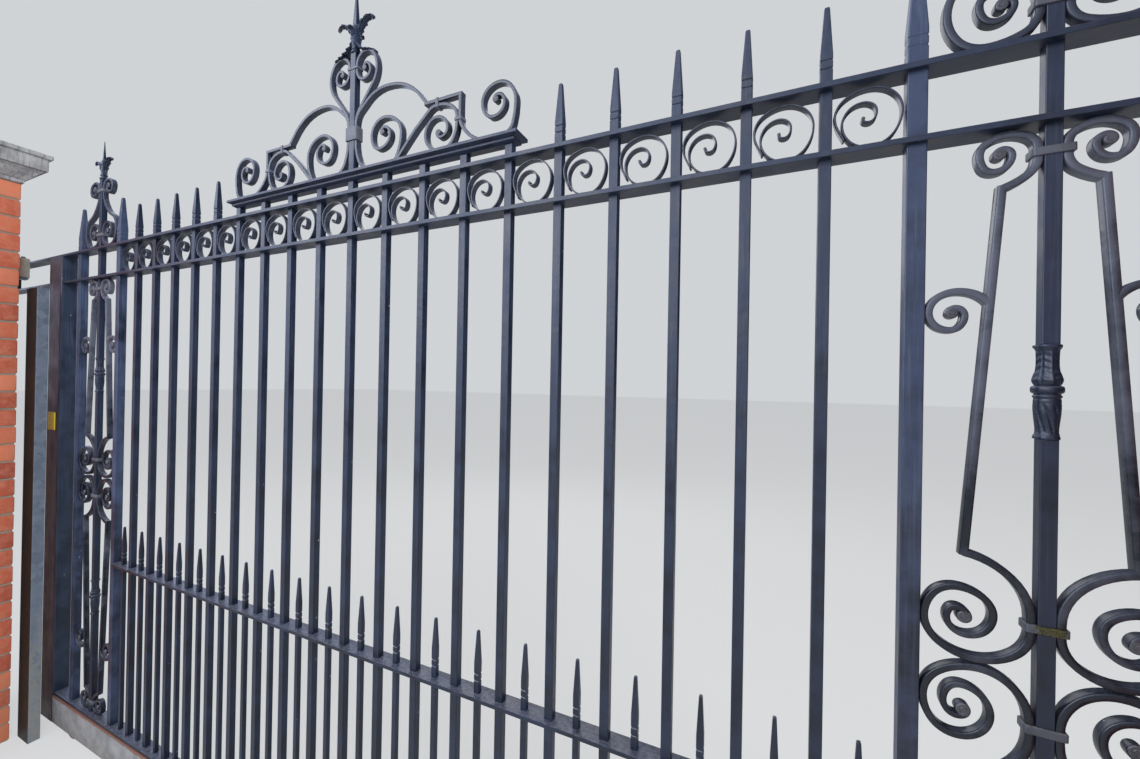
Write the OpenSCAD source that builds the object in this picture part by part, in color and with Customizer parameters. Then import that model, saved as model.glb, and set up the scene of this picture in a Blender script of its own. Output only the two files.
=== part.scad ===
// Wrought iron driveway gate: one long leaf that slides behind two brick piers.
// X runs along the gate to the right, Y away from the street, Z up from the ground.
// The origin is the middle of the left pier's foot.

/* [Bars] */
// Distance between the middles of neighbouring bars
pitch = 130; // [110:5:140]
// Side of the square bars
bar = 20; // [16:1:22]
// Side of the square bars at the sides of the two ornamental panels
frame_bar = 28; // [24:1:30]
// Side of the square bar in the middle of each ornamental panel
panel_bar = 21; // [20:1:24]
// Side of the square dog bars at the foot of the gate
dog_bar = 14; // [12:1:16]
// Height of a bar's tip above the top rail
bar_tip = 146; // [120:1:180]
// Height of a frame bar's tip above the top rail
frame_tip = 190; // [160:1:220]

/* [Rails] */
// Height of the top rail's upper face above the ground
rail_z = 2120; // [2000:10:2200]
// Depth of the flat rails from front to back
rail_deep = 50; // [40:1:56]
// Thickness of the flat rails
rail_thick = 10; // [8:1:12]
// Depth of the second rail's upper face below the top rail's
frieze = 122; // [118:1:126]
// Depth of the dog rail's upper face below the top rail's
dog_drop = 1299; // [1200:1:1320]
// Depth of the bottom rail's upper face below the top rail's
foot_drop = 1960; // [1950:1:1970]
// Height of the box beam under the bottom rail
beam_high = 120; // [100:5:125]

/* [Stiles and panels] */
// Width of the box stiles at the ends of the leaf
stile_wide = 120; // [100:5:130]
// Depth of the box stiles and of the bottom beam
stile_deep = 60; // [50:2:60]
// Wall of the box stiles and of the bottom beam
wall = 5; // [4:1:6]
// Width of an ornamental panel, from frame bar to frame bar
panel_wide = 332; // [326:1:340]
// Clear gap between the outer frame bar and the box stile
stile_gap = 114; // [100:1:140]
// Length of the rails beyond the left stile, where the guide roller bears
tail = 500; // [300:10:600]

/* [Ornament] */
// Width of the strap iron in the panels
strap = 12; // [11:1:13]
// Depth of the strap iron in the panels
strap_deep = 20; // [16:1:24]
// Thickness of the frieze scrolls
frieze_strap = 4; // [3:0.5:5]
// Width of the strap iron in the crest
crest_strap = 9; // [8:1:10]

/* [Piers] */
// Side of the square brick piers
pier_side = 450; // [400:10:500]
// Height of the brickwork
pier_high = 2405; // [2255:75:2630]
// Overhang of the stone caps
cap_over = 78; // [60:1:90]
// Gap between a pier's back and the middle of the leaf
pier_gap = 142; // [135:1:160]

/* [Hidden] */

$fn = 48;
facet = 12;
bays = 20;
span = bays * pitch;
middle = span / 2;
panel_middle = panel_wide / 2;
stile_in = panel_wide + frame_bar / 2 + stile_gap;
foot_z = rail_z - foot_drop;
beam_z = foot_z - rail_thick - beam_high;
pier_in = 531;
pier_x = -pier_in - pier_side / 2;
pier_y = -pier_gap - pier_side / 2;
iron = "#3b3f4c";
dusty_iron = "#4b4f5e";

// Everything below is laid out from the left inner frame bar, at the middle of the leaf's thickness.
module placed() {
    translate([-pier_x, -pier_y, 0]) children();
}

// Turns a drawing in X and height into an upright one.
module upright() {
    rotate([90, 0, 0]) children();
}

// The right half of the leaf repeats the left about the middle of the crest.
module facing(right) {
    if (right)
        translate([span, 0, 0]) mirror([1, 0, 0]) children();
    else
        children();
}

// A strap of iron follows points [x, height, heading], joined by pairs of arcs that meet smoothly.
function way(a) = [cos(a), sin(a)];
function across(p, q) = atan2(q[1] - p[1], q[0] - p[0]);
function meeting(p, q) =
    let (v = [q[0] - p[0], q[1] - p[1]], a = way(p[2]), b = way(q[2]), s = v * (a + b), c = 1 - a * b,
         reach = c < 0.0001 ? v * v / (4 * (v * b)) : (sqrt(s * s + 2 * c * (v * v)) - s) / (2 * c),
         x = (p[0] + q[0] + reach * (a[0] - b[0])) / 2, y = (p[1] + q[1] + reach * (a[1] - b[1])) / 2)
    [x, y, 2 * across(p, [x, y]) - p[2]];

function bend(p, q) = let (v = [q[0] - p[0], q[1] - p[1]]) 2 * ([-sin(p[2]), cos(p[2])] * v) / (v * v);
function turn(p, q) = let (v = [q[0] - p[0], q[1] - p[1]], side = [-sin(p[2]), cos(p[2])] * v)
    2 * atan2(side, way(p[2]) * v);
function on_arc(p, b, h) = [p[0] + (sin(h) - sin(p[2])) / b, p[1] - (cos(h) - cos(p[2])) / b, h];
function arc_points(p, q) = let (b = bend(p, q), t = turn(p, q), n = max(1, round(abs(t) / facet)))
    abs(b) < 0.00002 ? [p] : [for (k = [0 : n - 1]) on_arc(p, b, p[2] + t * k / n)];
function line_of(path) = concat(
    [for (i = [0 : len(path) - 2]) let (m = meeting(path[i], path[i + 1]))
        each concat(arc_points(path[i], m), arc_points(m, path[i + 1]))],
    [path[len(path) - 1]]);
function beside(line, d) = [for (p = line) [p[0] - d * sin(p[2]), p[1] + d * cos(p[2])]];
function backwards(points) = [for (i = [len(points) - 1 : -1 : 0]) points[i]];

// A forged snub rounds off a strap's free end.
function snub_end(tip, wide, r) = let (a = 180 - asin(wide / 2 / r))
    [for (k = [0 : 16]) let (h = tip[2] + a * (1 - k / 8)) [tip[0] + r * cos(h), tip[1] + r * sin(h)]];
function clear_of(line, tip, r) = [for (p = line) if (norm([p[0] - tip[0], p[1] - tip[1]]) > r) p];

module flat_strand(path, wide, blob) {
    line = line_of(path);
    tip = line[len(line) - 1];
    body = blob > 0 ? clear_of(line, tip, blob) : line;
    end = blob > 0 ? snub_end(tip, wide, blob) : [];
    polygon(concat(beside(body, wide / 2), end, backwards(beside(body, -wide / 2))));
}

module strand(path, wide, deep, blob = 0) {
    linear_extrude(deep, center = true) flat_strand(path, wide, blob);
}

// Square bar with a blunt tapered tip and scored rings round it.
function bar_edge(wide, low, neck, tip, blunt, scores) = concat(
    [[wide / 2, low]],
    [for (s = scores) each [[wide / 2, s - 2], [wide / 2 - 1.5, s], [wide / 2, s + 2]]],
    [[wide / 2, neck], [blunt, tip - 4], [blunt * 0.8, tip - 1], [blunt * 0.4, tip]]);
function mirrored(points) = [for (i = [len(points) - 1 : -1 : 0]) [-points[i][0], points[i][1]]];

module spear(wide, low, neck, tip, blunt, scores) {
    edge = bar_edge(wide, low, neck, tip, blunt, scores);
    intersection() {
        rotate([90, 0, 0]) linear_extrude(wide + 2, center = true) polygon(concat(edge, mirrored(edge)));
        rotate([90, 0, 90]) linear_extrude(wide + 2, center = true) polygon(concat(edge, mirrored(edge)));
    }
}

module square_bar(wide, low, high) {
    translate([-wide / 2, -wide / 2, low]) cube([wide, wide, high - low]);
}

// Box section with a hollow core, round outer corners and closed ends.
module box_stile(x, low, high) {
    difference() {
        translate([x, -stile_deep / 2, low]) rounded(stile_wide, stile_deep, high - low, 8);
        translate([x + wall, wall - stile_deep / 2, low + wall])
            cube([stile_wide - 2 * wall, stile_deep - 2 * wall, high - low - 2 * wall]);
    }
}

module rounded(wide, deep, high, r) {
    linear_extrude(high) union() {
        translate([r, 0]) square([wide - 2 * r, deep]);
        translate([0, r]) square([wide, deep - 2 * r]);
        for (x = [r, wide - r], y = [r, deep - r]) translate([x, y]) circle(r);
    }
}

module left_stile() {
    color("#4a3d3f") placed() box_stile(-stile_in - stile_wide, beam_z, rail_z - rail_thick);
}

module right_stile() {
    color("#4a3d3f") placed() box_stile(span + stile_in, beam_z, rail_z - rail_thick);
}

// A flat rail is punched where a bar goes through it.
module flat_rail(from, to, top, holes) {
    translate([0, 0, top - rail_thick]) linear_extrude(rail_thick) difference() {
        translate([from, -rail_deep / 2]) square([to - from, rail_deep]);
        for (h = holes) translate([h[0] - h[1] / 2, -h[1] / 2]) square(h[1]);
    }
}

panel_holes = [
    [-panel_wide, frame_bar], [-panel_middle, panel_bar], [0, frame_bar], [span, frame_bar],
    [span + panel_middle, panel_bar], [span + panel_wide, frame_bar]];
bar_holes = [for (i = [1 : bays - 1]) [i * pitch, bar]];
dog_holes = [for (i = [0 : bays - 1]) [(i + 0.5) * pitch, dog_bar]];
rail_start = -stile_in - stile_wide - tail;

module top_rail() {
    color(iron) placed()
        flat_rail(rail_start, span + stile_in + stile_wide, rail_z, concat(panel_holes, bar_holes));
}

module second_rail() {
    color(iron) placed() {
        flat_rail(rail_start, -stile_in - stile_wide, rail_z - frieze, []);
        flat_rail(-stile_in, span + stile_in, rail_z - frieze, concat(panel_holes, bar_holes));
        translate([rail_start, -rail_deep / 2, rail_z - frieze])
            cube([rail_thick, rail_deep, frieze - rail_thick]);
    }
}

module dog_rail() {
    color(dusty_iron) placed()
        flat_rail(frame_bar / 2, span - frame_bar / 2, rail_z - dog_drop, concat(bar_holes, dog_holes));
}

module bottom_rail() {
    color(iron) placed() flat_rail(-stile_in, span + stile_in, foot_z, []);
}

// Box beam under the bottom rail, slotted below for the two grooved wheels.
wheel_r = 60;
wheel_wide = 30;
wheel_places = [-stile_in + 150, span + stile_in - 150];
module bottom_beam() {
    long = span + 2 * stile_in;
    color("#4d524f") placed() difference() {
        translate([-stile_in, -stile_deep / 2, beam_z]) cube([long, stile_deep, beam_high]);
        translate([wall - stile_in, wall - stile_deep / 2, beam_z + wall])
            cube([long - 2 * wall, stile_deep - 2 * wall, beam_high - 2 * wall]);
        for (x = wheel_places) translate([x - wheel_r - 10, -20, beam_z - 1])
            cube([2 * wheel_r + 20, 40, wall + 2]);
    }
}

// Grooved wheels that run on the flush track, each on an axle across the beam.
module track_wheels() {
    color("gray") placed() for (x = wheel_places) translate([x, 0, wheel_r]) rotate([90, 0, 0]) {
        rotate_extrude() polygon([
            [0, -wheel_wide / 2], [wheel_r, -wheel_wide / 2], [wheel_r, -8], [wheel_r - 8, 0],
            [wheel_r, 8], [wheel_r, wheel_wide / 2], [0, wheel_wide / 2]]);
        cylinder(h = stile_deep - 2 * wall, r = 10, center = true);
    }
}

module frame_spear() {
    spear(frame_bar, foot_z, rail_z + 60, rail_z + frame_tip, 5.5, [rail_z + 31, rail_z + 47]);
}

module left_outer_bar() {
    color(dusty_iron) placed() translate([-panel_wide, 0, 0]) frame_spear();
}

module left_inner_bar() {
    color(dusty_iron) placed() frame_spear();
}

module right_inner_bar() {
    color(dusty_iron) placed() translate([span, 0, 0]) frame_spear();
}

module right_outer_bar() {
    color(dusty_iron) placed() translate([span + panel_wide, 0, 0]) frame_spear();
}

module spear_bars(from, to) {
    color(iron) placed() for (i = [from : to]) translate([i * pitch, 0, 0])
        spear(bar, foot_z, rail_z + 55, rail_z + bar_tip, 4.5, [rail_z + 31, rail_z + 46]);
}

crest_first = 6;
crest_last = 14;
module left_spear_bars() {
    spear_bars(1, crest_first - 1);
}

module right_spear_bars() {
    spear_bars(crest_last + 1, bays - 1);
}

module middle_bars() {
    color(iron) placed() for (i = [crest_first : crest_last]) translate([i * pitch, 0, 0])
        square_bar(bar, foot_z, rail_z + ledge_low);
}

module dog_bars() {
    top = rail_z - dog_drop;
    color(iron) placed() for (h = dog_holes) translate([h[0], 0, 0])
        spear(dog_bar, foot_z, top + 74, top + 151, 3.5, [top + 29, top + 45]);
}

// One scroll stands on the second rail in each bay of the frieze, its free end hanging at the left.
scroll_low = (frieze - rail_thick - frieze_strap) / 2;
frieze_deep = 18;
frieze_path = [
    [-37, -36, 115], [-51, 6, 90], [-1, 48, 0], [46.5, 0, -90], [2, -scroll_low, 180],
    [-40, -9, 90], [-10, 24, 0], [10.5, 5, -90], [-1, -11.5, 180], [-10, -4, 90]];
module frieze_scrolls() {
    color(dusty_iron) placed() for (i = [0 : bays - 1]) {
        aside = i == 0 ? (frame_bar - bar) / 2 : 0;
        translate([(i + 0.5) * pitch + aside, 0, rail_z - (frieze + rail_thick) / 2])
            upright() strand(frieze_path, frieze_strap, frieze_deep, 3);
    }
}

// The panels' scrolls, drawn left of the panel's middle bar; heights are below the top rail.
grip = (panel_bar + strap) / 2;
panel_low = -foot_drop - frieze - rail_thick;
top_volute = [
    [-grip, -180, 90], [-grip, -166, 90], [-51, -138, 180], [-85, -166, -90], [-66, -194, 0],
    [-46, -172, 90], [-57, -160, 180], [-65, -168, -90]];
top_shoulder = [[-grip, -178, -90], [-grip, -180, -90], [-56, -221, 200]];
upper_leg = [[-57, -217, -94], [-97, -801, -94]];
side_volute = [
    [-69, -402, 120], [-110, -379, 180], [-146, -412, -90], [-118, -441, 0], [-100, -419, 90],
    [-112, -405, 180], [-120, -414, -90]];
upper_elbow = [[-97, -797, -8], [-grip, -886, -90], [-grip, -905, -90]];
upper_scroll = [
    [-grip, -904, -90], [-81, -962, 180], [-146, -905, 90], [-104, -853, 0], [-60, -890, -90],
    [-95, -927, 180], [-117, -903, 90], [-104, -884, 0], [-94, -896, -90]];
lower_scroll = [
    [-grip, -1044, 90], [-79, -976, 180], [-146, -1035, -90], [-104, -1089, 0], [-62, -1045, 90],
    [-98, -1008, 180], [-120, -1036, -90], [-104, -1057, 0], [-94, -1046, 90]];
lower_elbow = [[-grip, -1042, -90], [-grip, -1062, -90], [-98, -1150, 188]];
lower_leg = [[-97, -1146, -86], [-57, panel_low + 217, -86]];

function flipped(path) = [for (p = path) [p[0], panel_low - p[1], -p[2]]];

module both_sides() {
    children();
    mirror([1, 0, 0]) children();
}

module strap_iron(path, blob = 0) {
    flat_strand(path, strap, blob);
}
snub = 7;

module panel_place(right) {
    placed() facing(right) translate([-panel_middle, 0, rail_z]) upright() children();
}

module upper_scrolls(right) {
    color(iron) panel_place(right) both_sides() linear_extrude(strap_deep, center = true) union() {
        strap_iron(top_volute, snub);
        strap_iron(top_shoulder);
        strap_iron(upper_leg);
        strap_iron(side_volute, snub);
        strap_iron(upper_elbow);
        strap_iron(upper_scroll, snub + 1);
    }
}

module lower_scrolls(right) {
    color(iron) panel_place(right) both_sides() linear_extrude(strap_deep, center = true) union() {
        strap_iron(lower_scroll, snub + 1);
        strap_iron(lower_elbow);
        strap_iron(lower_leg);
        strap_iron(flipped(side_volute), snub);
        strap_iron(flipped(top_shoulder));
        strap_iron(flipped(top_volute), snub);
    }
}

module left_upper_scrolls() {
    upper_scrolls(false);
}

module right_upper_scrolls() {
    upper_scrolls(true);
}

module left_lower_scrolls() {
    lower_scrolls(false);
}

module right_lower_scrolls() {
    lower_scrolls(true);
}

// Middle bar of a panel. It is turned down to a round spigot inside each boss.
boss_tops = [-467, -1407];
boss_high = 143;
spigot = 16;
module panel_bar_solid() {
    square_bar(panel_bar, foot_z, rail_z + boss_tops[1] - boss_high);
    square_bar(panel_bar, rail_z + boss_tops[1], rail_z + boss_tops[0] - boss_high);
    square_bar(panel_bar, rail_z + boss_tops[0], rail_z + finial_foot);
    for (top = boss_tops) translate([0, 0, rail_z + top - boss_high]) cylinder(h = boss_high, d = spigot);
}

module left_panel_bar() {
    color(iron) placed() translate([-panel_middle, 0, 0]) panel_bar_solid();
}

module right_panel_bar() {
    color(iron) placed() translate([span + panel_middle, 0, 0]) panel_bar_solid();
}

// Cast boss with a ring at its waist, threaded on the bar's spigot.
boss_profile = [
    [16, 0], [16, 4], [12.5, 9], [12, 30], [13, 42], [16.5, 52], [16.5, 58], [14, 62], [18.5, 64],
    [18.5, 73], [15, 75], [16, 79], [14.5, 83], [14.5, 105], [12, 128], [12, 133], [15, 137],
    [15, boss_high]];
module boss(top) {
    translate([0, 0, rail_z + top]) rotate_extrude()
        polygon(concat(
            [[spigot / 2, 0]], [for (p = boss_profile) [p[0], -p[1]]], [[spigot / 2, -boss_high]]));
}

module panel_bosses(right) {
    color(iron) placed() facing(right) translate([-panel_middle, 0, 0]) {
        for (top = boss_tops) boss(top);
    }
}

module left_panel_bosses() {
    panel_bosses(false);
}

module right_panel_bosses() {
    panel_bosses(true);
}

// Collar wrapped round straps that stand side by side, wide by deep inside.
module collar(wide, deep, high, thick) {
    translate([0, 0, -high / 2]) linear_extrude(high) difference() {
        square([wide + 2 * thick, deep + 2 * thick], center = true);
        square([wide, deep], center = true);
    }
}

finial_collars = [55, 242];
module panel_collars(right) {
    color("#555a52") placed() facing(right) translate([-panel_middle, 0, rail_z])
        for (z = concat([-173, -897, -1050, panel_low + 173], finial_collars)) translate([0, 0, z])
            collar(panel_bar + 2 * strap, panel_bar, 12, 4);
}

module left_panel_collars() {
    panel_collars(false);
}

module right_panel_collars() {
    panel_collars(true);
}

// Finial over each panel, drawn left of its middle bar.
finial_volute = [
    [-grip, 44, 90], [-grip, 64, 90], [-53, 104, 180], [-88, 72, -90], [-67, 44, 0],
    [-46, 64, 90], [-57, 75, 180], [-65, 67, -90]];
finial_arm = [
    [-grip, 46, -90], [-76, strap / 2, 180], [-128, 70, 90], [-92, 130, 20], [-48, 163, 50],
    [-grip, 232, 90], [-grip, 252, 90]];
finial_curl = [
    [-grip, 250, 90], [-53, 283, 180], [-91, 254, -90], [-68, 227, 0], [-46, 249, 90],
    [-57, 263, 180], [-65, 255, -90]];

module finial_scrolls(right) {
    color(dusty_iron) panel_place(right) both_sides() linear_extrude(strap_deep, center = true) union() {
        strap_iron(finial_volute, snub);
        strap_iron(finial_arm);
        strap_iron(finial_curl, snub);
    }
}

module left_finial_scrolls() {
    finial_scrolls(false);
}

module right_finial_scrolls() {
    finial_scrolls(true);
}

// A cast leaf is a curved web, drawn to the right of the stem, cut to a pointed plan.
leaf_reach = 80;
leaf_top = 700;
module leaf(path, plan, thick) {
    outline = concat(plan, [for (p = backwards(plan)) [p[0], -p[1]]]);
    intersection() {
        upright() strand(path, thick, leaf_reach);
        linear_extrude(leaf_top) polygon(outline);
    }
}

module turned(edge) {
    rotate_extrude() polygon(concat([[0, edge[0][1]]], edge, [[0, edge[len(edge) - 1][1]]]));
}

// Casting on top of a panel's middle bar: a ringed stem, two leaves that curl outwards, and a needle.
finial_foot = 292;
needle_z = 455;
finial_stem = [
    [15, finial_foot], [15, 298], [11, 301], [11, 306], [13, 309], [11, 318], [10, 345],
    [13, 362], [8, 374], [5, 380]];
finial_blade = [[8, 322, 84], [24, 360, 50], [52, 378, 4], [76, 366, -60]];
finial_plan = [[0, 5], [14, 8], [30, 13], [50, 13], [66, 8], [80, 1]];
module finial_leaf(right) {
    color(iron) placed() facing(right) translate([-panel_middle, 0, rail_z]) {
        turned(finial_stem);
        spear(10, 376, 380, needle_z, 2.5, []);
        both_sides() leaf(finial_blade, finial_plan, 6);
    }
}

module left_finial_leaf() {
    finial_leaf(false);
}

module right_finial_leaf() {
    finial_leaf(true);
}

// Moulded ledge that carries the crest, with its moulding returned round the mitred ends.
ledge_low = 31;
ledge_high = 53;
ledge_half = 551;
ledge_deep = 31;
ledge_steps = [
    [11, ledge_low], [20, 36], [20, 41], [23, 42], [27, 44], [28, 45], [ledge_deep, 45],
    [ledge_deep, ledge_high]];

function ledge_edge(out) = [for (s = ledge_steps) [s[0] + out, s[1]]];

module ledge_outline(out) {
    polygon(concat(ledge_edge(out), mirrored(ledge_edge(out))));
}

module crest_place() {
    placed() translate([middle, 0, rail_z]) children();
}

module crest_ledge() {
    color(dusty_iron) crest_place() intersection() {
        rotate([90, 0, 90]) linear_extrude(2 * ledge_half + 2, center = true) ledge_outline(0);
        rotate([90, 0, 0]) linear_extrude(2 * ledge_deep + 2, center = true)
            ledge_outline(ledge_half - ledge_deep);
    }
}

crest_core = 20;
crest_foot = 402;
module crest_bar() {
    color(iron) crest_place() square_bar(crest_core, ledge_high, crest_foot);
}

// Scrolls of the crest, drawn right of its middle; heights are above the top rail.
crest_grip = (crest_core + crest_strap) / 2;
step_x = 304;
step_z = 190;
rising_z = 177;
leg_x = 376;
rising_x = 367.2;
bound_z = 127;
lie = ledge_high + crest_strap / 2;
lyre = [
    [crest_grip, 147, 90], [crest_grip, 196, 90], [50, 262, 48], [91, 340, 90], [47, 396, 180],
    [crest_grip, 362, -90], [crest_grip, 350, -90], [42, 317, 0], [66, 338, 90], [50, 360, 180],
    [40, 348, -90]];
arch = [[crest_grip + 1, 198, 88], [56, 250, 40], [124, 274, 0], [202, 256, -29], [268, 192, -55]];
step_down = [[262, step_z, 0], [leg_x + crest_strap / 2, step_z, 0]];
leg = [
    [leg_x, 194, -90], [leg_x, 120, -90], [414, 80, -35], [455, lie, 0], [498, lie, 0],
    [537, 132, 90], [488, 189, 180], [443, 148, -90], [476, 108, 0], [506, 138, 90],
    [488, 160, 180], [476, 150, -90]];
foot_strap = [[crest_grip, 150, -90], [crest_grip, 147, -90], [72, lie, 0], [170, lie, 0]];
big_volute = [
    [158, lie - 1, 50], [184, 132, 90], [121, 188, 180], [77, 144, -90], [107, 104, 0],
    [144, 136, 90], [122, 161, 180], [111, 149, -90]];
rising = [
    [164, lie, 45], [258, 152, 38], [step_x - 5, rising_z, 0], [step_x + 5, rising_z, 0],
    [rising_x, bound_z + 5, -90], [rising_x, bound_z - 5, -90], [320, lie, 180], [267, 106, 90],
    [302, 146, 0], [338, 112, -90], [316, 92, 180], [304, 106, 90]];

module crest_iron(path, blob = 0) {
    flat_strand(path, crest_strap, blob);
}

module crest_scrolls() {
    upright() linear_extrude(strap_deep, center = true) union() {
        crest_iron(lyre, 6);
        crest_iron(arch);
        crest_iron(step_down);
        crest_iron(leg, 6);
        crest_iron(foot_strap);
        crest_iron(big_volute, 6);
        crest_iron(rising, 6);
    }
}

module crest_right_scrolls() {
    color(dusty_iron) crest_place() crest_scrolls();
}

module crest_left_scrolls() {
    color(dusty_iron) crest_place() mirror([1, 0, 0]) crest_scrolls();
}

// A block binds the lyre to the bar below, and a thin collar above. The step's upper joint is bound
// across.
lyre_bound = 167;
lyre_block = 40;
lyre_tie = 356;
module crest_collars() {
    core = crest_core + 2 * crest_strap;
    color(iron) crest_place() {
        translate([0, 0, lyre_bound]) collar(core, strap_deep, lyre_block, 4.5);
        translate([0, 0, lyre_tie]) collar(core, strap_deep, 8, 3);
        both_sides() {
            translate([step_x, 0, (step_z + rising_z) / 2]) rotate([0, 90, 0])
                collar(step_z - rising_z + crest_strap, strap_deep, 8, 3);
            translate([(leg_x + rising_x) / 2, 0, bound_z])
                collar(leg_x - rising_x + crest_strap, strap_deep, 8, 3);
        }
    }
}

// Casting on top of the crest: ringed stem, long leaves to the sides, short ones to front and back,
// two leaves that lie on the lyre, and a needle.
crest_tip = 590;
crest_stem = [
    [14, crest_foot], [14, 407], [11, 409], [13, 413], [11, 417], [13, 432], [16, 446], [14, 460],
    [17, 470], [12, 480], [8, 486]];
crest_blade = [[10, 448, 78], [28, 486, 42], [52, 498, 0], [72, 486, -66]];
crest_plan = [[0, 6], [14, 9], [30, 15], [50, 15], [66, 9], [78, 1]];
short_blade = [[10, 444, 76], [20, 470, 30], [30, 462, -84]];
short_plan = [[0, 6], [14, 10], [26, 10], [34, 4]];
hanging_blade = [[9, 436, -80], [22, 418, -42], [50, 405.5, -10], [88, 388, -52]];
hanging_plan = [[0, 8], [16, 12], [26, 20], [34, 16], [46, 24], [56, 18], [68, 20], [76, 10], [92, 1]];
module crest_leaf() {
    color(iron) crest_place() {
        turned(crest_stem);
        spear(15, 482, 486, crest_tip, 3, []);
        both_sides() leaf(crest_blade, crest_plan, 6);
        rotate([0, 0, 90]) both_sides() leaf(short_blade, short_plan, 6);
        both_sides() leaf(hanging_blade, hanging_plan, 5);
    }
}

// Plain yellow plate on the front of the left stile.
plate_z = rail_z - 790;
module reflector_plate() {
    color("#d8b93a") placed() translate([-557, -stile_deep / 2 - 3, plate_z]) cube([68, 3, 80]);
}

// Brick piers stand in front of the leaf, so that it slides behind the left one.
module pier() {
    translate([-pier_side / 2, -pier_side / 2, 0]) cube([pier_side, pier_side, pier_high]);
}

// Stone cap: a bed mould over the bricks, a plain fascia, and a thin top that drips clear of it. The
// top is weathered: it falls to all four sides from the middle.
cap_edge = 133;
cap_rise = 38;
fascia = cap_over - 12;
cap_steps = [
    [8, 0], [8, 14], [16, 17], [36, 38], [45, 53], [52, 56], [52, 62], [fascia, 62],
    [fascia, cap_edge - 19], [cap_over, cap_edge - 17], [cap_over, cap_edge]];
module pier_cap() {
    edge = [for (s = cap_steps) [pier_side / 2 + s[0], s[1]]];
    slope = concat(edge, [[0, cap_edge + cap_rise]], mirrored(edge));
    translate([0, 0, pier_high]) intersection() {
        rotate([90, 0, 0]) linear_extrude(pier_side + 2 * cap_over, center = true) polygon(slope);
        rotate([90, 0, 90]) linear_extrude(pier_side + 2 * cap_over, center = true) polygon(slope);
    }
}

right_pier_place = [span + 2 * pier_in + pier_side, 0, 0];
module left_pier() {
    color("#a5503f") pier();
}

module left_pier_cap() {
    color("#a9a69c") pier_cap();
}

module right_pier() {
    color("#a5503f") translate(right_pier_place) pier();
}

module right_pier_cap() {
    color("#a9a69c") translate(right_pier_place) pier_cap();
}

// Steel box post beside the left pier, closed at both ends.
post_x = -531;
post_y = -118;
post_wide = 105;
post_deep = 40;
post_high = 1953;
module guide_post() {
    color("#6f7b86") placed() difference() {
        translate([post_x, post_y, 0]) cube([post_wide, post_deep, post_high]);
        translate([post_x + wall, post_y + wall, wall])
            cube([post_wide - 2 * wall, post_deep - 2 * wall, post_high - 2 * wall]);
    }
}

// An angle on the left pier's back carries the pin of the tall guide roller, which steadies the rail.
roller_r = 22;
roller_play = 6;
roller_high = 90;
roller_x = -775;
roller_y = -stile_deep / 2 - roller_play - roller_r;
roller_z = rail_z - 86;
module guide_bracket() {
    color("#8b9197") placed() {
        translate([roller_x - 40, -pier_gap, roller_z - 70]) cube([80, 8, 70]);
        translate([roller_x - 20, -pier_gap, roller_z - 10]) cube([40, pier_gap + roller_y + 12, 8]);
        translate([roller_x, roller_y, roller_z - 4]) cylinder(h = roller_high + 12, r = 8);
    }
}

module guide_roller() {
    color("#c9c8c0") placed() translate([roller_x, roller_y, roller_z]) difference() {
        cylinder(h = roller_high, r = roller_r);
        translate([0, 0, -1]) cylinder(h = roller_high + 2, r = 8.2);
    }
}

left_stile();
right_stile();
top_rail();
second_rail();
dog_rail();
bottom_rail();
bottom_beam();
track_wheels();
left_outer_bar();
left_inner_bar();
right_inner_bar();
right_outer_bar();
left_spear_bars();
middle_bars();
right_spear_bars();
dog_bars();
frieze_scrolls();
left_panel_bar();
right_panel_bar();
left_panel_bosses();
right_panel_bosses();
left_upper_scrolls();
left_lower_scrolls();
right_upper_scrolls();
right_lower_scrolls();
left_panel_collars();
right_panel_collars();
left_finial_scrolls();
right_finial_scrolls();
left_finial_leaf();
right_finial_leaf();
crest_ledge();
crest_bar();
crest_left_scrolls();
crest_right_scrolls();
crest_collars();
crest_leaf();
reflector_plate();
left_pier();
left_pier_cap();
right_pier();
right_pier_cap();
guide_post();
guide_bracket();
guide_roller();
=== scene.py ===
import math
import random

import bmesh
import bpy
from mathutils import Euler, Matrix, Vector


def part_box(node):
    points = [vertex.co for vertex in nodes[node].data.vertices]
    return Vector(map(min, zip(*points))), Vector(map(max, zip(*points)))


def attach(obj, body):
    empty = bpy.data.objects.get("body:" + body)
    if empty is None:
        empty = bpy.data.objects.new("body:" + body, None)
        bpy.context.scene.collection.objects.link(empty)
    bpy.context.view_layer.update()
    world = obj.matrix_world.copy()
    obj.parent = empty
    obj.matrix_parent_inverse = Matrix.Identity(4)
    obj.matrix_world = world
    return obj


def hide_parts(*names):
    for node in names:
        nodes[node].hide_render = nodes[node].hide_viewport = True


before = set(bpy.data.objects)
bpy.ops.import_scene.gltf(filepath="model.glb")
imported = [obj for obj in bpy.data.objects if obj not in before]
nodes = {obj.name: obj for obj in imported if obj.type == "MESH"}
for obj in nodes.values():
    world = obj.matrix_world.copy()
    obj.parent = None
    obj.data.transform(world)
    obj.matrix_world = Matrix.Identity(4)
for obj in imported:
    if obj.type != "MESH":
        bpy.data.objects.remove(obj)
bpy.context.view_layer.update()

# The view. The photograph looks at the leaf from the street, one metre in front of it and near its right
# end, through a very wide lens held a little off level. Daylight comes from the front, the left and above,
# so the sides of the bars that face right stay dark.
camera_place = Vector((3.1477, -0.6352, 1.5811))
turn_left = math.radians(26.53)
look_up = math.radians(0.187)
roll = math.radians(1.046)
lens = bpy.data.cameras.new("photo_view")
lens.sensor_width = 36.0
lens.lens = 15.145
lens.shift_x = 0.03265
lens.shift_y = 0.00167
lens.clip_start = 0.01
camera = bpy.data.objects.new("photo_view", lens)
bpy.context.scene.collection.objects.link(camera)
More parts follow.
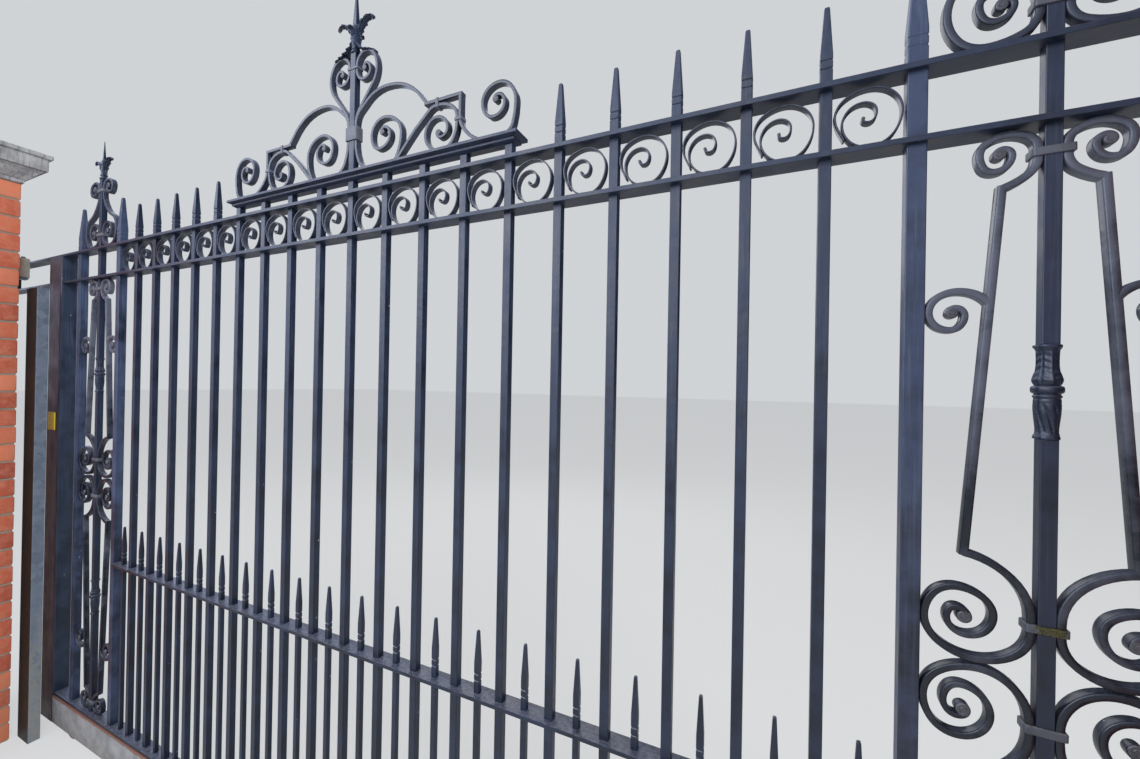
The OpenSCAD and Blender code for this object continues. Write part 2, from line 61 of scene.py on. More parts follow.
camera.rotation_euler = (
    Euler((math.pi / 2 + look_up, 0.0, turn_left)).to_matrix() @ Matrix.Rotation(roll, 3, "Z")
).to_euler()
camera.location = camera_place
bpy.context.scene.camera = camera
bpy.context.scene.view_settings.view_transform = "Standard"


# One square, soft lamp. Glossy paint doesn't show it where mirrored is off.
def lamp(name, place, aim, side, watts, mirrored=True):
    light = bpy.data.lights.new(name, "AREA")
    light.shape = "SQUARE"
    light.size = side
    light.energy = watts
    holder = bpy.data.objects.new(name, light)
    bpy.context.scene.collection.objects.link(holder)
    holder.visible_glossy = mirrored
    holder.location = place
    holder.rotation_euler = (Vector(aim) - Vector(place)).to_track_quat("-Z", "Y").to_euler()


lamp("sky_left", (-2.4, -4.8, 5.0), (1.6, 0.3, 1.2), 4.5, 220.0)
lamp("sky_front", (1.2, -4.6, 3.6), (1.0, 0.3, 1.2), 3.5, 100.0)
lamp("sky_right", (11.0, -4.5, 5.5), (1.0, 0.3, 1.2), 5.0, 1100.0, mirrored=False)
lamp("sky_back", (0.5, 5.0, 4.5), (2.0, 0.3, 1.2), 4.0, 80.0)


# Colours are written as sRGB hex, as seen on the object, and turned to the linear values that shaders take.
def colour(hex_value):
    parts = [int(hex_value[i:i + 2], 16) / 255 for i in (0, 2, 4)]
    return [p / 12.92 if p <= 0.04045 else ((p + 0.055) / 1.055) ** 2.4 for p in parts] + [1.0]


# Adds one shader node. Inputs are given by name or number, as a value or as another node's output, and the
# stops of a colour ramp as places and colours, its two end stops first.
def add(tree, kind, inputs=None, stops=(), **settings):
    node = tree.nodes.new("ShaderNode" + kind)
    for number, (position, shade) in enumerate(stops):
        elements = node.color_ramp.elements
        stop = elements[number] if number < 2 else elements.new(position)
        stop.position = position
        stop.color = colour(shade)
    for name, value in settings.items():
        setattr(node, name, value)
    for name, value in (inputs or {}).items():
        if isinstance(value, bpy.types.NodeSocket):
            tree.links.new(value, node.inputs[name])
        else:
            node.inputs[name].default_value = value
    return node


def new_material(name, roughness, specular=0.5):
    material = bpy.data.materials.new(name)
    material.use_nodes = True
    tree = material.node_tree
    shader = tree.nodes["Principled BSDF"]
    shader.inputs["Roughness"].default_value = roughness
    shader.inputs["Specular IOR Level"].default_value = specular
    return material, tree, shader


# The studio. A pale seamless floor and a pale surround, which glossy paint reflects too. What the paint
# reflects is brightest to the left, above and towards the street, where the photograph's light comes from.
floor_shape = bmesh.new()
bmesh.ops.create_grid(floor_shape, x_segments=1, y_segments=1, size=60.0)
floor_mesh = bpy.data.meshes.new("studio_floor")
floor_shape.to_mesh(floor_mesh)
floor_shape.free()
studio_floor = bpy.data.objects.new("studio_floor", floor_mesh)
bpy.context.scene.collection.objects.link(studio_floor)
floor_paint, tree, shader = new_material("pale_floor", 0.9, 0.2)
shader.inputs["Base Color"].default_value = colour("d9dadb")
rays = add(tree, "LightPath")
glossy = add(tree, "Math", {0: rays.outputs["Is Glossy Ray"], 1: rays.outputs["Is Transmission Ray"]},
             operation="MAXIMUM")
lift = add(tree, "Math", {0: rays.outputs["Is Camera Ray"], 1: 0.68}, operation="MULTIPLY")
lift = add(tree, "Math", {0: glossy.outputs[0], 1: 0.2, 2: lift.outputs[0]}, operation="MULTIPLY_ADD")
glow = add(tree, "Emission", {"Color": colour("e6e8ea"), "Strength": 0.96})
blend = add(tree, "MixShader", {0: lift.outputs[0], 1: shader.outputs[0], 2: glow.outputs[0]})
tree.links.new(blend.outputs[0], tree.nodes["Material Output"].inputs["Surface"])
floor_mesh.materials.append(floor_paint)
surround = bpy.data.worlds.new("pale_surround")
bpy.context.scene.world = surround
surround.use_nodes = True
tree = surround.node_tree
sky = tree.nodes["Background"]
rays = add(tree, "LightPath")
toward = add(tree, "SeparateXYZ", {"Vector": add(tree, "TexCoord").outputs["Generated"]})
streetward = add(tree, "Math", {0: toward.outputs["Y"], 1: 0.7, 2: toward.outputs["X"]},
                 operation="MULTIPLY_ADD")
bright_side = add(tree, "MapRange", {"Value": streetward.outputs[0], "From Min": 0.7, "From Max": -1.3,
                                     "To Min": 0.02, "To Max": 3.0}, interpolation_type="SMOOTHSTEP")
above = add(tree, "MapRange", {"Value": toward.outputs["Z"], "From Min": 0.2, "From Max": 0.9, "To Max": 0.5})
mirrored_sky = add(tree, "Math", {0: bright_side.outputs[0], 1: above.outputs[0]}, operation="MAXIMUM")
glossy = add(tree, "Math", {0: rays.outputs["Is Glossy Ray"], 1: rays.outputs["Is Transmission Ray"]},
             operation="MAXIMUM")
unseen = add(tree, "Mix", {"Factor": glossy.outputs[0], "A": 0.25, "B": mirrored_sky.outputs[0]})
strength = add(tree, "Mix", {"Factor": rays.outputs["Is Camera Ray"], "A": unseen.outputs[0], "B": 0.8})
cool = add(tree, "Mix", {"Factor": glossy.outputs[0], "A": colour("e6e9ec"), "B": colour("ccd7f3")},
           data_type="RGBA")
tree.links.new(cool.outputs["Result"], sky.inputs["Color"])
tree.links.new(strength.outputs[0], sky.inputs["Strength"])


# Takes a modelled shape into the scene as one piece of the gate, which may stand for a CAD node.
def place_piece(name, shape, material, body, stands_for=None, smooth=35.0, second=None):
    mesh = bpy.data.meshes.new(name)
    shape.to_mesh(mesh)
    shape.free()
    for face in mesh.polygons:
        face.use_smooth = True
    mesh.set_sharp_from_angle(angle=math.radians(smooth))
    mesh.materials.append(material)
    if second:
        mesh.materials.append(second)
    piece = bpy.data.objects.new(name, mesh)
    bpy.context.scene.collection.objects.link(piece)
    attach(piece, body)
    if stands_for:
        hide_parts(stands_for)
    return piece


# The piers. Two square piers of red facing brick, 222 by 106 by 67 mm laid in a ring, six to a
# course, with the courses laid alternately so that no upright joint runs through. Joints are 8 mm of pale
# lime mortar, weathered back a few millimetres. Arrises are worn and every brick has fired differently.
MM = 0.001
brick_long, brick_wide, joint = 222.0, 106.0, 8.0
courses = 32
mortar_back = 3.5
foot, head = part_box("left_pier")
course_rise = (head.z - foot.z) / MM / courses
brick_high = course_rise - joint
seed = random.Random(4)


def facing_brick(shape, x, y, z, turned, fired_layer, fired):
    made = bmesh.ops.create_cube(shape, size=1.0)["verts"]
    grow = (brick_long + seed.uniform(-1.5, 0.0), brick_wide + seed.uniform(-1.0, 0.0),
            brick_high + seed.uniform(-1.5, 1.0))
    bmesh.ops.scale(shape, verts=made, vec=grow)
    bmesh.ops.rotate(shape, verts=made, cent=(0, 0, 0), matrix=Euler((
        math.radians(seed.uniform(-0.4, 0.4)), math.radians(seed.uniform(-0.3, 0.3)),
        math.radians(seed.uniform(-0.5, 0.5)) + (math.pi / 2 if turned else 0.0))).to_matrix())
    bmesh.ops.translate(shape, verts=made, vec=(x, y, z))
    edges = list({edge for vert in made for edge in vert.link_edges})
    worn = bmesh.ops.bevel(shape, geom=edges, offset=seed.uniform(2.5, 4.5), offset_type="OFFSET", segments=2,
                           profile=0.5, affect="EDGES", material=-1)
    faces = {face for vert in worn["verts"] for face in vert.link_faces}
    for face in faces:
        for corner in face.loops:
            corner[fired_layer] = fired


brickwork, tree, shader = new_material("red_facing_brick", 0.85, 0.3)
# Fired clay: matt, sandy and mottled, orange red to purple red, with pale bloom and chipped specks.
place = add(tree, "TexCoord").outputs["Object"]
fired_tone = add(tree, "Attribute", attribute_name="fired").outputs["Fac"]
base = add(tree, "ValToRGB", {"Fac": fired_tone}, ((0.0, "a35040"), (1.0, "d67f60"), (0.55, "c2664d")))
mottle = add(tree, "TexNoise", {"Vector": place, "Scale": 1 / (30 * MM), "Detail": 6.0, "Roughness": 0.65})
mottled = add(tree, "MapRange", {"Value": mottle.outputs[0], "From Min": 0.42, "From Max": 0.68,
                                 "To Max": 0.55})
body = add(tree, "Mix", {"Factor": mottled.outputs[0], "A": base.outputs["Color"], "B": colour("c98a72")},
           data_type="RGBA")
grit = add(tree, "TexNoise", {"Vector": place, "Scale": 1 / (3 * MM), "Detail": 3.0, "Roughness": 0.7})
specks = add(tree, "MapRange", {"Value": grit.outputs[0], "From Min": 0.62, "From Max": 0.7, "To Max": 0.6})
spotted = add(tree, "Mix", {"Factor": specks.outputs[0], "A": body.outputs["Result"], "B": colour("6b3a32")},
              data_type="RGBA")
height = add(tree, "SeparateXYZ", {"Vector": place}).outputs["Z"]
damp = add(tree, "MapRange", {"Value": height, "From Min": 0.05, "From Max": 0.45, "To Min": 0.45,
                              "To Max": 0.0})
damp_share = add(tree, "Math", {0: damp.outputs[0], 1: mottle.outputs[0]}, operation="MULTIPLY")
face_colour = add(tree, "Mix", {"Factor": damp_share.outputs[0], "A": spotted.outputs["Result"],
                                "B": colour("5e5a44")}, data_type="RGBA")
tree.links.new(face_colour.outputs["Result"], shader.inputs["Base Color"])
pits = add(tree, "Bump", {"Height": grit.outputs[0], "Strength": 0.6, "Distance": 0.9 * MM})
drag = add(tree, "Bump", {"Height": mottle.outputs[0], "Normal": pits.outputs[0], "Strength": 0.5,
                          "Distance": 2.5 * MM})
tree.links.new(drag.outputs[0], shader.inputs["Normal"])

mortar, tree, shader = new_material("lime_mortar", 0.95, 0.2)
# Lime and sharp sand: pale buff grey, gritty, streaked darker where damp.
place = add(tree, "TexCoord").outputs["Object"]
sand = add(tree, "TexNoise", {"Vector": place, "Scale": 1 / (2 * MM), "Detail": 4.0, "Roughness": 0.7})
stain = add(tree, "TexNoise", {"Vector": place, "Scale": 1 / (70 * MM), "Detail": 3.0})
shade = add(tree, "Mix", {"Factor": stain.outputs[0], "A": colour("a2968a"), "B": colour("766e65")},
            data_type="RGBA")
tree.links.new(shade.outputs["Result"], shader.inputs["Base Color"])
rough_bed = add(tree, "Bump", {"Height": sand.outputs[0], "Strength": 0.7, "Distance": 1.0 * MM})
tree.links.new(rough_bed.outputs[0], shader.inputs["Normal"])

for side in ("left", "right"):
    foot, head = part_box(side + "_pier")
    middle = (foot + head) / 2 / MM
    half = (head.x - foot.x) / 2 / MM
    bricks = bmesh.new()
    fired_layer = bricks.loops.layers.float.new("fired")
    for course in range(courses):
        z = foot.z / MM + joint / 2 + brick_high / 2 + course * course_rise
        across = half - brick_wide / 2
        along = (brick_long + joint) / 2
        ring = [(s * along, t * across, False) for s in (-1, 1) for t in (-1, 1)] + [
            (s * across, 0.0, True) for s in (-1, 1)]
        for x, y, turned in ring:
            fired = seed.random()
            if course % 2:
                x, y, turned = -y, x, not turned
            facing_brick(bricks, middle.x + x, middle.y + y, z, turned, fired_layer, fired)
    bmesh.ops.scale(bricks, verts=bricks.verts, vec=(MM, MM, MM))
    place_piece(side + "_pier_bricks", bricks, brickwork, "piers", side + "_pier", 60.0)
    beds = bmesh.new()
    bmesh.ops.create_cube(beds, size=1.0)
    bed_wide = 2 * half - 2 * mortar_back
    bmesh.ops.scale(beds, verts=beds.verts, vec=(bed_wide, bed_wide, (head.z - foot.z) / MM))
    bmesh.ops.translate(beds, verts=beds.verts, vec=middle)
    bmesh.ops.scale(beds, verts=beds.verts, vec=(MM, MM, MM))
    place_piece(side + "_pier_mortar", beds, mortar, "piers", side + "_pier")


def finish(node, material, arris=0.8, segments=2):
    piece = nodes[node]
    piece.data.materials.clear()
    piece.data.materials.append(material)
    weld = piece.modifiers.new("weld", "WELD")
    weld.merge_threshold = 0.02 * MM
    soft = piece.modifiers.new("arris", "BEVEL")
    soft.width = arris * MM
    soft.segments = segments
    soft.limit_method = "ANGLE"
    soft.angle_limit = math.radians(35)


# The stone caps. Each is one block of reconstituted stone: a bed mould, a plain fascia and a thin weathered
# top, bedded in mortar on the bricks. Rain has left dark runs on the fascia and lichen on top.
cap_stone, tree, shader = new_material("reconstituted_stone", 0.9, 0.25)
# Cement and fine crushed stone: matt, pale grey with a cold cast, finely pitted.
place = add(tree, "TexCoord").outputs["Object"]
facing = add(tree, "SeparateXYZ", {"Vector": add(tree, "NewGeometry").outputs["Normal"]}).outputs["Z"]
cloud = add(tree, "TexNoise", {"Vector": place, "Scale": 1 / (60 * MM), "Detail": 5.0, "Roughness": 0.6})
stone_tone = add(tree, "ValToRGB", {"Fac": cloud.outputs[0]}, ((0.35, "8b8c8f"), (0.65, "b6b7ba")))
hung = add(tree, "Mapping", {"Vector": place, "Scale": (1.0, 1.0, 0.08)})
runs = add(tree, "TexNoise", {"Vector": hung.outputs[0], "Scale": 1 / (9 * MM), "Detail": 4.0,
                              "Roughness": 0.6})
washed = add(tree, "MapRange", {"Value": runs.outputs[0], "From Min": 0.5, "From Max": 0.66, "To Max": 0.55})
streaked = add(tree, "Mix", {"Factor": washed.outputs[0], "A": stone_tone.outputs["Color"],
                             "B": colour("4f5052")}, data_type="RGBA")
up = add(tree, "MapRange", {"Value": facing, "From Min": 0.3, "From Max": 0.9, "To Max": 0.85})
growth = add(tree, "TexNoise", {"Vector": place, "Scale": 1 / (18 * MM), "Detail": 6.0, "Roughness": 0.7})
pale_top = add(tree, "ValToRGB", {"Fac": growth.outputs[0]}, ((0.4, "8a8c80"), (0.6, "b9bcb6")))
weathered = add(tree, "Mix", {"Factor": up.outputs[0], "A": streaked.outputs["Result"],
                              "B": pale_top.outputs["Color"]}, data_type="RGBA")
tree.links.new(weathered.outputs["Result"], shader.inputs["Base Color"])
pit = add(tree, "TexNoise", {"Vector": place, "Scale": 1 / (2.5 * MM), "Detail": 4.0, "Roughness": 0.7})
pitted = add(tree, "Bump", {"Height": pit.outputs[0], "Strength": 0.5, "Distance": 1.0 * MM})
uneven = add(tree, "Bump", {"Height": growth.outputs[0], "Normal": pitted.outputs[0], "Strength": 0.4,
                            "Distance": 2.0 * MM})
tree.links.new(uneven.outputs[0], shader.inputs["Normal"])
for side in ("left", "right"):
    finish(side + "_pier_cap", cap_stone, 3.0, 3)

# The guide post. A galvanised steel box set in the ground beside the left pier. Its street side is coloured
# near black as painted shade, the shadow of the pier. Its right side is bare zinc with lichen towards the
# foot.
# The roller's bracket is finished alike.
post_zinc, tree, shader = new_material("galvanised_steel_with_lichen_and_painted_shade", 0.5, 0.4)
# Zinc dulls to a blue grey with soft spangle 20 to 30 mm across; lichen is a dull grey-green crust.
place = add(tree, "TexCoord").outputs["Object"]
out = add(tree, "SeparateXYZ", {"Vector": add(tree, "NewGeometry").outputs["Normal"]})
height = add(tree, "SeparateXYZ", {"Vector": place}).outputs["Z"]
spangle = add(tree, "TexVoronoi", {"Vector": place, "Scale": 1 / (22 * MM)})
zinc = add(tree, "ValToRGB", {"Fac": spangle.outputs["Color"]}, ((0.0, "6b7787"), (1.0, "8693a6")))
crust = add(tree, "TexNoise", {"Vector": place, "Scale": 1 / (14 * MM), "Detail": 6.0, "Roughness": 0.75})
low = add(tree, "MapRange", {"Value": height, "From Min": 0.2, "From Max": 0.9, "To Min": 0.1,
                             "To Max": -0.14})
grown = add(tree, "Math", {0: crust.outputs[0], 1: low.outputs[0]}, operation="ADD")
lichen = add(tree, "MapRange", {"Value": grown.outputs[0], "From Min": 0.5, "From Max": 0.6})
crusted = add(tree, "Mix", {"Factor": lichen.outputs[0], "A": zinc.outputs["Color"], "B": colour("7b7e7b")},
              data_type="RGBA")
# Painted shade: faces towards the street take a near-black colour for the shadow that the pier casts on them.
street = add(tree, "MapRange", {"Value": out.outputs["Y"], "From Min": -0.5, "From Max": -0.9})
black = add(tree, "Mix", {"Factor": crust.outputs[0], "A": colour("15171a"), "B": colour("25291f")},
            data_type="RGBA")
shaded_street_face = add(tree, "Mix", {"Factor": street.outputs[0], "A": crusted.outputs["Result"],
                            "B": black.outputs["Result"]}, data_type="RGBA")
tree.links.new(shaded_street_face.outputs["Result"], shader.inputs["Base Color"])
bare = add(tree, "Math", {0: 1.0, 1: lichen.outputs[0]}, operation="SUBTRACT")
metal = add(tree, "Math", {0: bare.outputs[0], 1: 0.45}, operation="MULTIPLY")
tree.links.new(metal.outputs[0], shader.inputs["Metallic"])
rough_skin = add(tree, "Bump", {"Height": crust.outputs[0], "Strength": 0.35, "Distance": 0.8 * MM})
tree.links.new(rough_skin.outputs[0], shader.inputs["Normal"])
finish("guide_post", post_zinc, 3.0, 3)
finish("guide_bracket", post_zinc, 1.0)

# The guide roller. A tall roller of white nylon on a steel pin, which stands up from the bracket on the left
# pier's back and steadies the top rail. The weather has turned it to a pale dirty grey.
nylon, tree, shader = new_material("weathered_nylon", 0.45, 0.4)
# Turned nylon: smooth and waxy, with grime worked into it in soft patches.
place = add(tree, "TexCoord").outputs["Object"]
grime = add(tree, "TexNoise", {"Vector": place, "Scale": 1 / (8 * MM), "Detail": 4.0})
dirty = add(tree, "Mix", {"Factor": grime.outputs[0], "A": colour("c9c6bb"), "B": colour("8f8b7f")},
            data_type="RGBA")
tree.links.new(dirty.outputs["Result"], shader.inputs["Base Color"])
finish("guide_roller", nylon, 1.5, 3)


# The iron. Every bar, rail, scroll and casting of the leaf has black gate paint over its iron. It has dulled
# to a satin blue black, painted darker towards the foot and lighter towards the head as painted shade and
# light, with pale dust on what faces up, rain streaks down the uprights and a skin that is never quite flat.
def iron_paint(name, deep, lit, dust, streaks, dusty=0.75, roughness=0.4, foot_z=0.5, head_z=2.1,
               foot_tone=-0.12, head_tone=0.1):
    material, tree, shader = new_material(name, roughness, 0.42)
    place = add(tree, "TexCoord").outputs["Object"]
    facing = add(tree, "SeparateXYZ", {"Vector": add(tree, "NewGeometry").outputs["Normal"]}).outputs["Z"]
    height = add(tree, "SeparateXYZ", {"Vector": place}).outputs["Z"]
    drops = add(tree, "TexVoronoi", {"Vector": place, "Scale": 1 / (34 * MM), "Randomness": 1.0})
    drop_size = add(tree, "MapRange", {"Value": drops.outputs["Color"], "From Min": 0.55, "From Max": 1.0,
                                       "To Min": 0.0, "To Max": 0.1})
    inside = add(tree, "Math", {0: drops.outputs["Distance"], 1: drop_size.outputs[0]}, operation="LESS_THAN")
    speckled = add(tree, "Math", {0: inside.outputs[0], 1: 0.55}, operation="MULTIPLY")
    patches = add(tree, "TexNoise", {"Vector": place, "Scale": 1 / (80 * MM), "Detail": 4.0,
                                     "Roughness": 0.6})
    # Painted light and shade: the tone rises with height, lighter towards the head and darker towards the
    # foot.
    painted_light_by_height = add(tree, "MapRange", {"Value": height, "From Min": foot_z, "From Max": head_z,
                                  "To Min": foot_tone, "To Max": head_tone})
    level = add(tree, "Math", {0: patches.outputs[0], 1: painted_light_by_height.outputs[0]}, operation="ADD")
    body = add(tree, "ValToRGB", {"Fac": level.outputs[0]}, ((0.3, deep), (0.62, lit)))
    hung = add(tree, "Mapping", {"Vector": place, "Scale": (1.0, 1.0, 0.03)})
    runs = add(tree, "TexNoise", {"Vector": hung.outputs[0], "Scale": 1 / (5 * MM), "Detail": 3.0,
                                  "Roughness": 0.6})
    higher = add(tree, "MapRange", {"Value": height, "From Min": 0.9, "From Max": 1.8,
                                    "To Min": streaks * 0.2, "To Max": streaks})
    washed = add(tree, "MapRange", {"Value": runs.outputs[0], "From Min": 0.5, "From Max": 0.72,
                                    "To Max": higher.outputs[0]})
    streaked = add(tree, "Mix", {"Factor": washed.outputs[0], "A": body.outputs["Color"], "B": colour(dust)},
                   data_type="RGBA")
    settled = add(tree, "TexNoise", {"Vector": place, "Scale": 1 / (10 * MM), "Detail": 5.0,
                                     "Roughness": 0.7})
    up = add(tree, "MapRange", {"Value": facing, "From Min": 0.15, "From Max": 0.85, "To Max": dusty})
    share = add(tree, "MapRange", {"Value": settled.outputs[0], "From Min": 0.3, "From Max": 0.6,
                                   "To Max": up.outputs[0]})
    dusted = add(tree, "Mix", {"Factor": share.outputs[0], "A": streaked.outputs["Result"],
                               "B": colour(dust)}, data_type="RGBA")
    topped = add(tree, "Mix", {"Factor": speckled.outputs[0], "A": dusted.outputs["Result"],
                               "B": colour("a9aba6")}, data_type="RGBA")
    tree.links.new(topped.outputs["Result"], shader.inputs["Base Color"])
    gloss = add(tree, "MapRange", {"Value": patches.outputs[0], "From Min": 0.35, "From Max": 0.65,
                                   "To Min": roughness - 0.08, "To Max": roughness + 0.1})
    tree.links.new(gloss.outputs[0], shader.inputs["Roughness"])
    grain = add(tree, "TexNoise", {"Vector": place, "Scale": 1 / (2.5 * MM), "Detail": 2.0})
    wave = add(tree, "TexNoise", {"Vector": place, "Scale": 1 / (22 * MM), "Detail": 1.0})
    fine = add(tree, "Bump", {"Height": grain.outputs[0], "Strength": 0.25, "Distance": 0.4 * MM})
    skin = add(tree, "Bump", {"Height": wave.outputs[0], "Normal": fine.outputs[0], "Strength": 0.35,
                              "Distance": 2 * MM})
    tree.links.new(skin.outputs[0], shader.inputs["Normal"])
    return material


# Rails lie flat: dust on top and no streaks. Bars have faint streaks. The frame bars are the palest and the
# most streaked.
rail_paint = iron_paint("satin_blue_black_paint_on_rails", "131a28", "222d42", "70768a", streaks=0.0)
for rail in ("bottom_rail", "top_rail", "second_rail", "dog_rail"):
    finish(rail, rail_paint, 0.8)
bar_paint = iron_paint("satin_blue_black_paint_on_bars", "131a28", "222d42", "70768a", streaks=0.14)
for bars in ("left_spear_bars", "middle_bars", "right_spear_bars", "dog_bars", "left_panel_bar",
             "right_panel_bar", "crest_bar"):
    finish(bars, bar_paint, 1.2)
frame_paint = iron_paint("rain_streaked_paint_on_iron", "192132", "3a4763", "7d8496", streaks=0.25)
for bars in ("left_outer_bar", "left_inner_bar", "right_inner_bar", "right_outer_bar"):
    finish(bars, frame_paint, 1.6)
finish("crest_ledge", rail_paint, 1.0)

# The track wheels. Two grooved steel wheels, half sunk in slots in the underside of the bottom beam. They are
# worn grey and brown with rust.
wheel_steel, tree, shader = new_material("rusty_worn_steel", 0.55, 0.5)
# Steel that rolls in the wet: brown scale in patches over dull grey metal.
place = add(tree, "TexCoord").outputs["Object"]
scale_rust = add(tree, "TexNoise", {"Vector": place, "Scale": 1 / (12 * MM), "Detail": 5.0, "Roughness": 0.7})
worn_steel = add(tree, "ValToRGB", {"Fac": scale_rust.outputs[0]}, ((0.4, "5c4638"), (0.62, "6d6a66")))
tree.links.new(worn_steel.outputs["Color"], shader.inputs["Base Color"])
crusty = add(tree, "Bump", {"Height": scale_rust.outputs[0], "Strength": 0.4, "Distance": 0.8 * MM})
tree.links.new(crusty.outputs[0], shader.inputs["Normal"])
finish("track_wheels", wheel_steel, 1.0)

# The box stiles. Welded box section, closed at both ends; the street face of each has faded to a
# brown-purple black, and the sides have stayed blue.
stile_paint = iron_paint("faded_brown_black_paint", "1a2231", "2c384c", "70768a", streaks=0.2)
# Gate paint that the sun has bleached on one side: flat brown in upright bands there, blue black elsewhere.
tree = stile_paint.node_tree
shader = tree.nodes["Principled BSDF"]
blue = shader.inputs["Base Color"].links[0].from_socket
place = add(tree, "TexCoord").outputs["Object"]
street = add(tree, "SeparateXYZ", {"Vector": add(tree, "NewGeometry").outputs["Normal"]}).outputs["Y"]
sunned = add(tree, "MapRange", {"Value": street, "From Min": -0.45, "From Max": -0.9, "To Max": 0.92})
bleach = add(tree, "Mapping", {"Vector": place, "Scale": (1.0, 1.0, 0.06)})
bands = add(tree, "TexNoise", {"Vector": bleach.outputs[0], "Scale": 1 / (16 * MM), "Detail": 4.0})
brown = add(tree, "ValToRGB", {"Fac": bands.outputs[0]}, ((0.38, "2e2830"), (0.66, "52434c")))
turned_brown = add(tree, "Mix", {"Factor": sunned.outputs[0], "A": blue, "B": brown.outputs["Color"]},
                   data_type="RGBA")
tree.links.new(turned_brown.outputs["Result"], shader.inputs["Base Color"])
for stile in ("left_stile", "right_stile"):
    finish(stile, stile_paint, 2.0, 3)

# The bottom beam. A steel box under the bottom rail: thin grey-green paint, rust where the rail sits on it
# along its upper edge, splashed mud lower down.
beam_paint, tree, shader = new_material("thin_grey_green_paint_on_steel", 0.6, 0.35)
# Thin old paint: flat, cloudy grey that breaks to brown rust at the top and dulls to mud at the foot.
place = add(tree, "TexCoord").outputs["Object"]
height = add(tree, "SeparateXYZ", {"Vector": place}).outputs["Z"]
cloud = add(tree, "TexNoise", {"Vector": place, "Scale": 1 / (60 * MM), "Detail": 5.0, "Roughness": 0.6})
film = add(tree, "ValToRGB", {"Fac": cloud.outputs[0]}, ((0.35, "75787c"), (0.65, "94979b")))
edge_break = add(tree, "TexNoise", {"Vector": place, "Scale": 1 / (25 * MM), "Detail": 5.0, "Roughness": 0.7})
top_edge = add(tree, "MapRange", {"Value": height, "From Min": 0.128, "From Max": 0.148, "To Min": -0.4,
                                  "To Max": 0.5})
rusty = add(tree, "Math", {0: edge_break.outputs[0], 1: top_edge.outputs[0]}, operation="ADD")
rust_share = add(tree, "MapRange", {"Value": rusty.outputs[0], "From Min": 0.62, "From Max": 0.8})
rusted = add(tree, "Mix", {"Factor": rust_share.outputs[0], "A": film.outputs["Color"],
                           "B": colour("74544a")}, data_type="RGBA")
splash = add(tree, "MapRange", {"Value": height, "From Min": 0.03, "From Max": 0.09, "To Min": 0.7,
                                "To Max": 0.0})
mud = add(tree, "Math", {0: splash.outputs[0], 1: edge_break.outputs[0]}, operation="MULTIPLY")
muddy = add(tree, "Mix", {"Factor": mud.outputs[0], "A": rusted.outputs["Result"], "B": colour("5d5040")},
            data_type="RGBA")
tree.links.new(muddy.outputs["Result"], shader.inputs["Base Color"])
scale_bump = add(tree, "Bump", {"Height": edge_break.outputs[0], "Strength": 0.4, "Distance": 1.0 * MM})
tree.links.new(scale_bump.outputs[0], shader.inputs["Normal"])
finish("bottom_beam", beam_paint, 2.0, 3)

# The reflector plate. A plain yellow enamelled plate, fixed flat on the street face of the left stile at
# chest height.
yellow, tree, shader = new_material("yellow_enamel", 0.4, 0.5)
# Enamel: smooth and even, and a little faded in patches.
place = add(tree, "TexCoord").outputs["Object"]
fade = add(tree, "TexNoise", {"Vector": place, "Scale": 1 / (20 * MM), "Detail": 4.0})
faded = add(tree, "Mix", {"Factor": fade.outputs[0], "A": colour("f4dc44"), "B": colour("d8bb38")},
            data_type="RGBA")
tree.links.new(faded.outputs["Result"], shader.inputs["Base Color"])
finish("reflector_plate", yellow, 0.5)


# The scrolls. Each is one strap of iron, forged round at the arrises and bent hot. Its path is laid out in
# millimetres as [x, height, heading], joined by pairs of arcs that meet smoothly, as a smith bends it over a
# former. The free end is drawn down a little and finishes in a round snub.
def way(degrees):
    return Vector((math.cos(math.radians(degrees)), 0.0, math.sin(math.radians(degrees))))


def meeting(p, q):
    reach_out = Vector((q[0] - p[0], 0.0, q[1] - p[1]))
    a, b = way(p[2]), way(q[2])
    s, c = reach_out.dot(a + b), 1.0 - a.dot(b)
    if c < 0.0001:
        reach = reach_out.dot(reach_out) / (4 * reach_out.dot(b))
    else:
        reach = (math.sqrt(s * s + 2 * c * reach_out.dot(reach_out)) - s) / (2 * c)
    x = (p[0] + q[0] + reach * (a.x - b.x)) / 2
    z = (p[1] + q[1] + reach * (a.z - b.z)) / 2
    return [x, z, 2 * math.degrees(math.atan2(z - p[1], x - p[0])) - p[2]]


def arc_pairs(path):
    arcs = []
    for p, q in zip(path, path[1:]):
        m = meeting(p, q)
        arcs += [(p, m), (m, q)]
    return arcs


# The direction to the left of a heading, towards which a strap with a positive bend curls.
def left_of(degrees):
    ahead = way(degrees)
    return Vector((-ahead.z, 0.0, ahead.x))


# Copies one shape into another, mirrored in X where asked.
def add_shape(shape, extra, mirrored=False, x=0.0, y=0.0, z=0.0):
    copy = extra.copy()
    if mirrored:
        bmesh.ops.scale(copy, verts=copy.verts, vec=(-1.0, 1.0, 1.0))
        bmesh.ops.recalc_face_normals(copy, faces=copy.faces)
    bmesh.ops.translate(copy, verts=copy.verts, vec=(x, y, z))
    mesh = bpy.data.meshes.new("part")
    copy.to_mesh(mesh)
    copy.free()
    shape.from_mesh(mesh)
    bpy.data.meshes.remove(mesh)
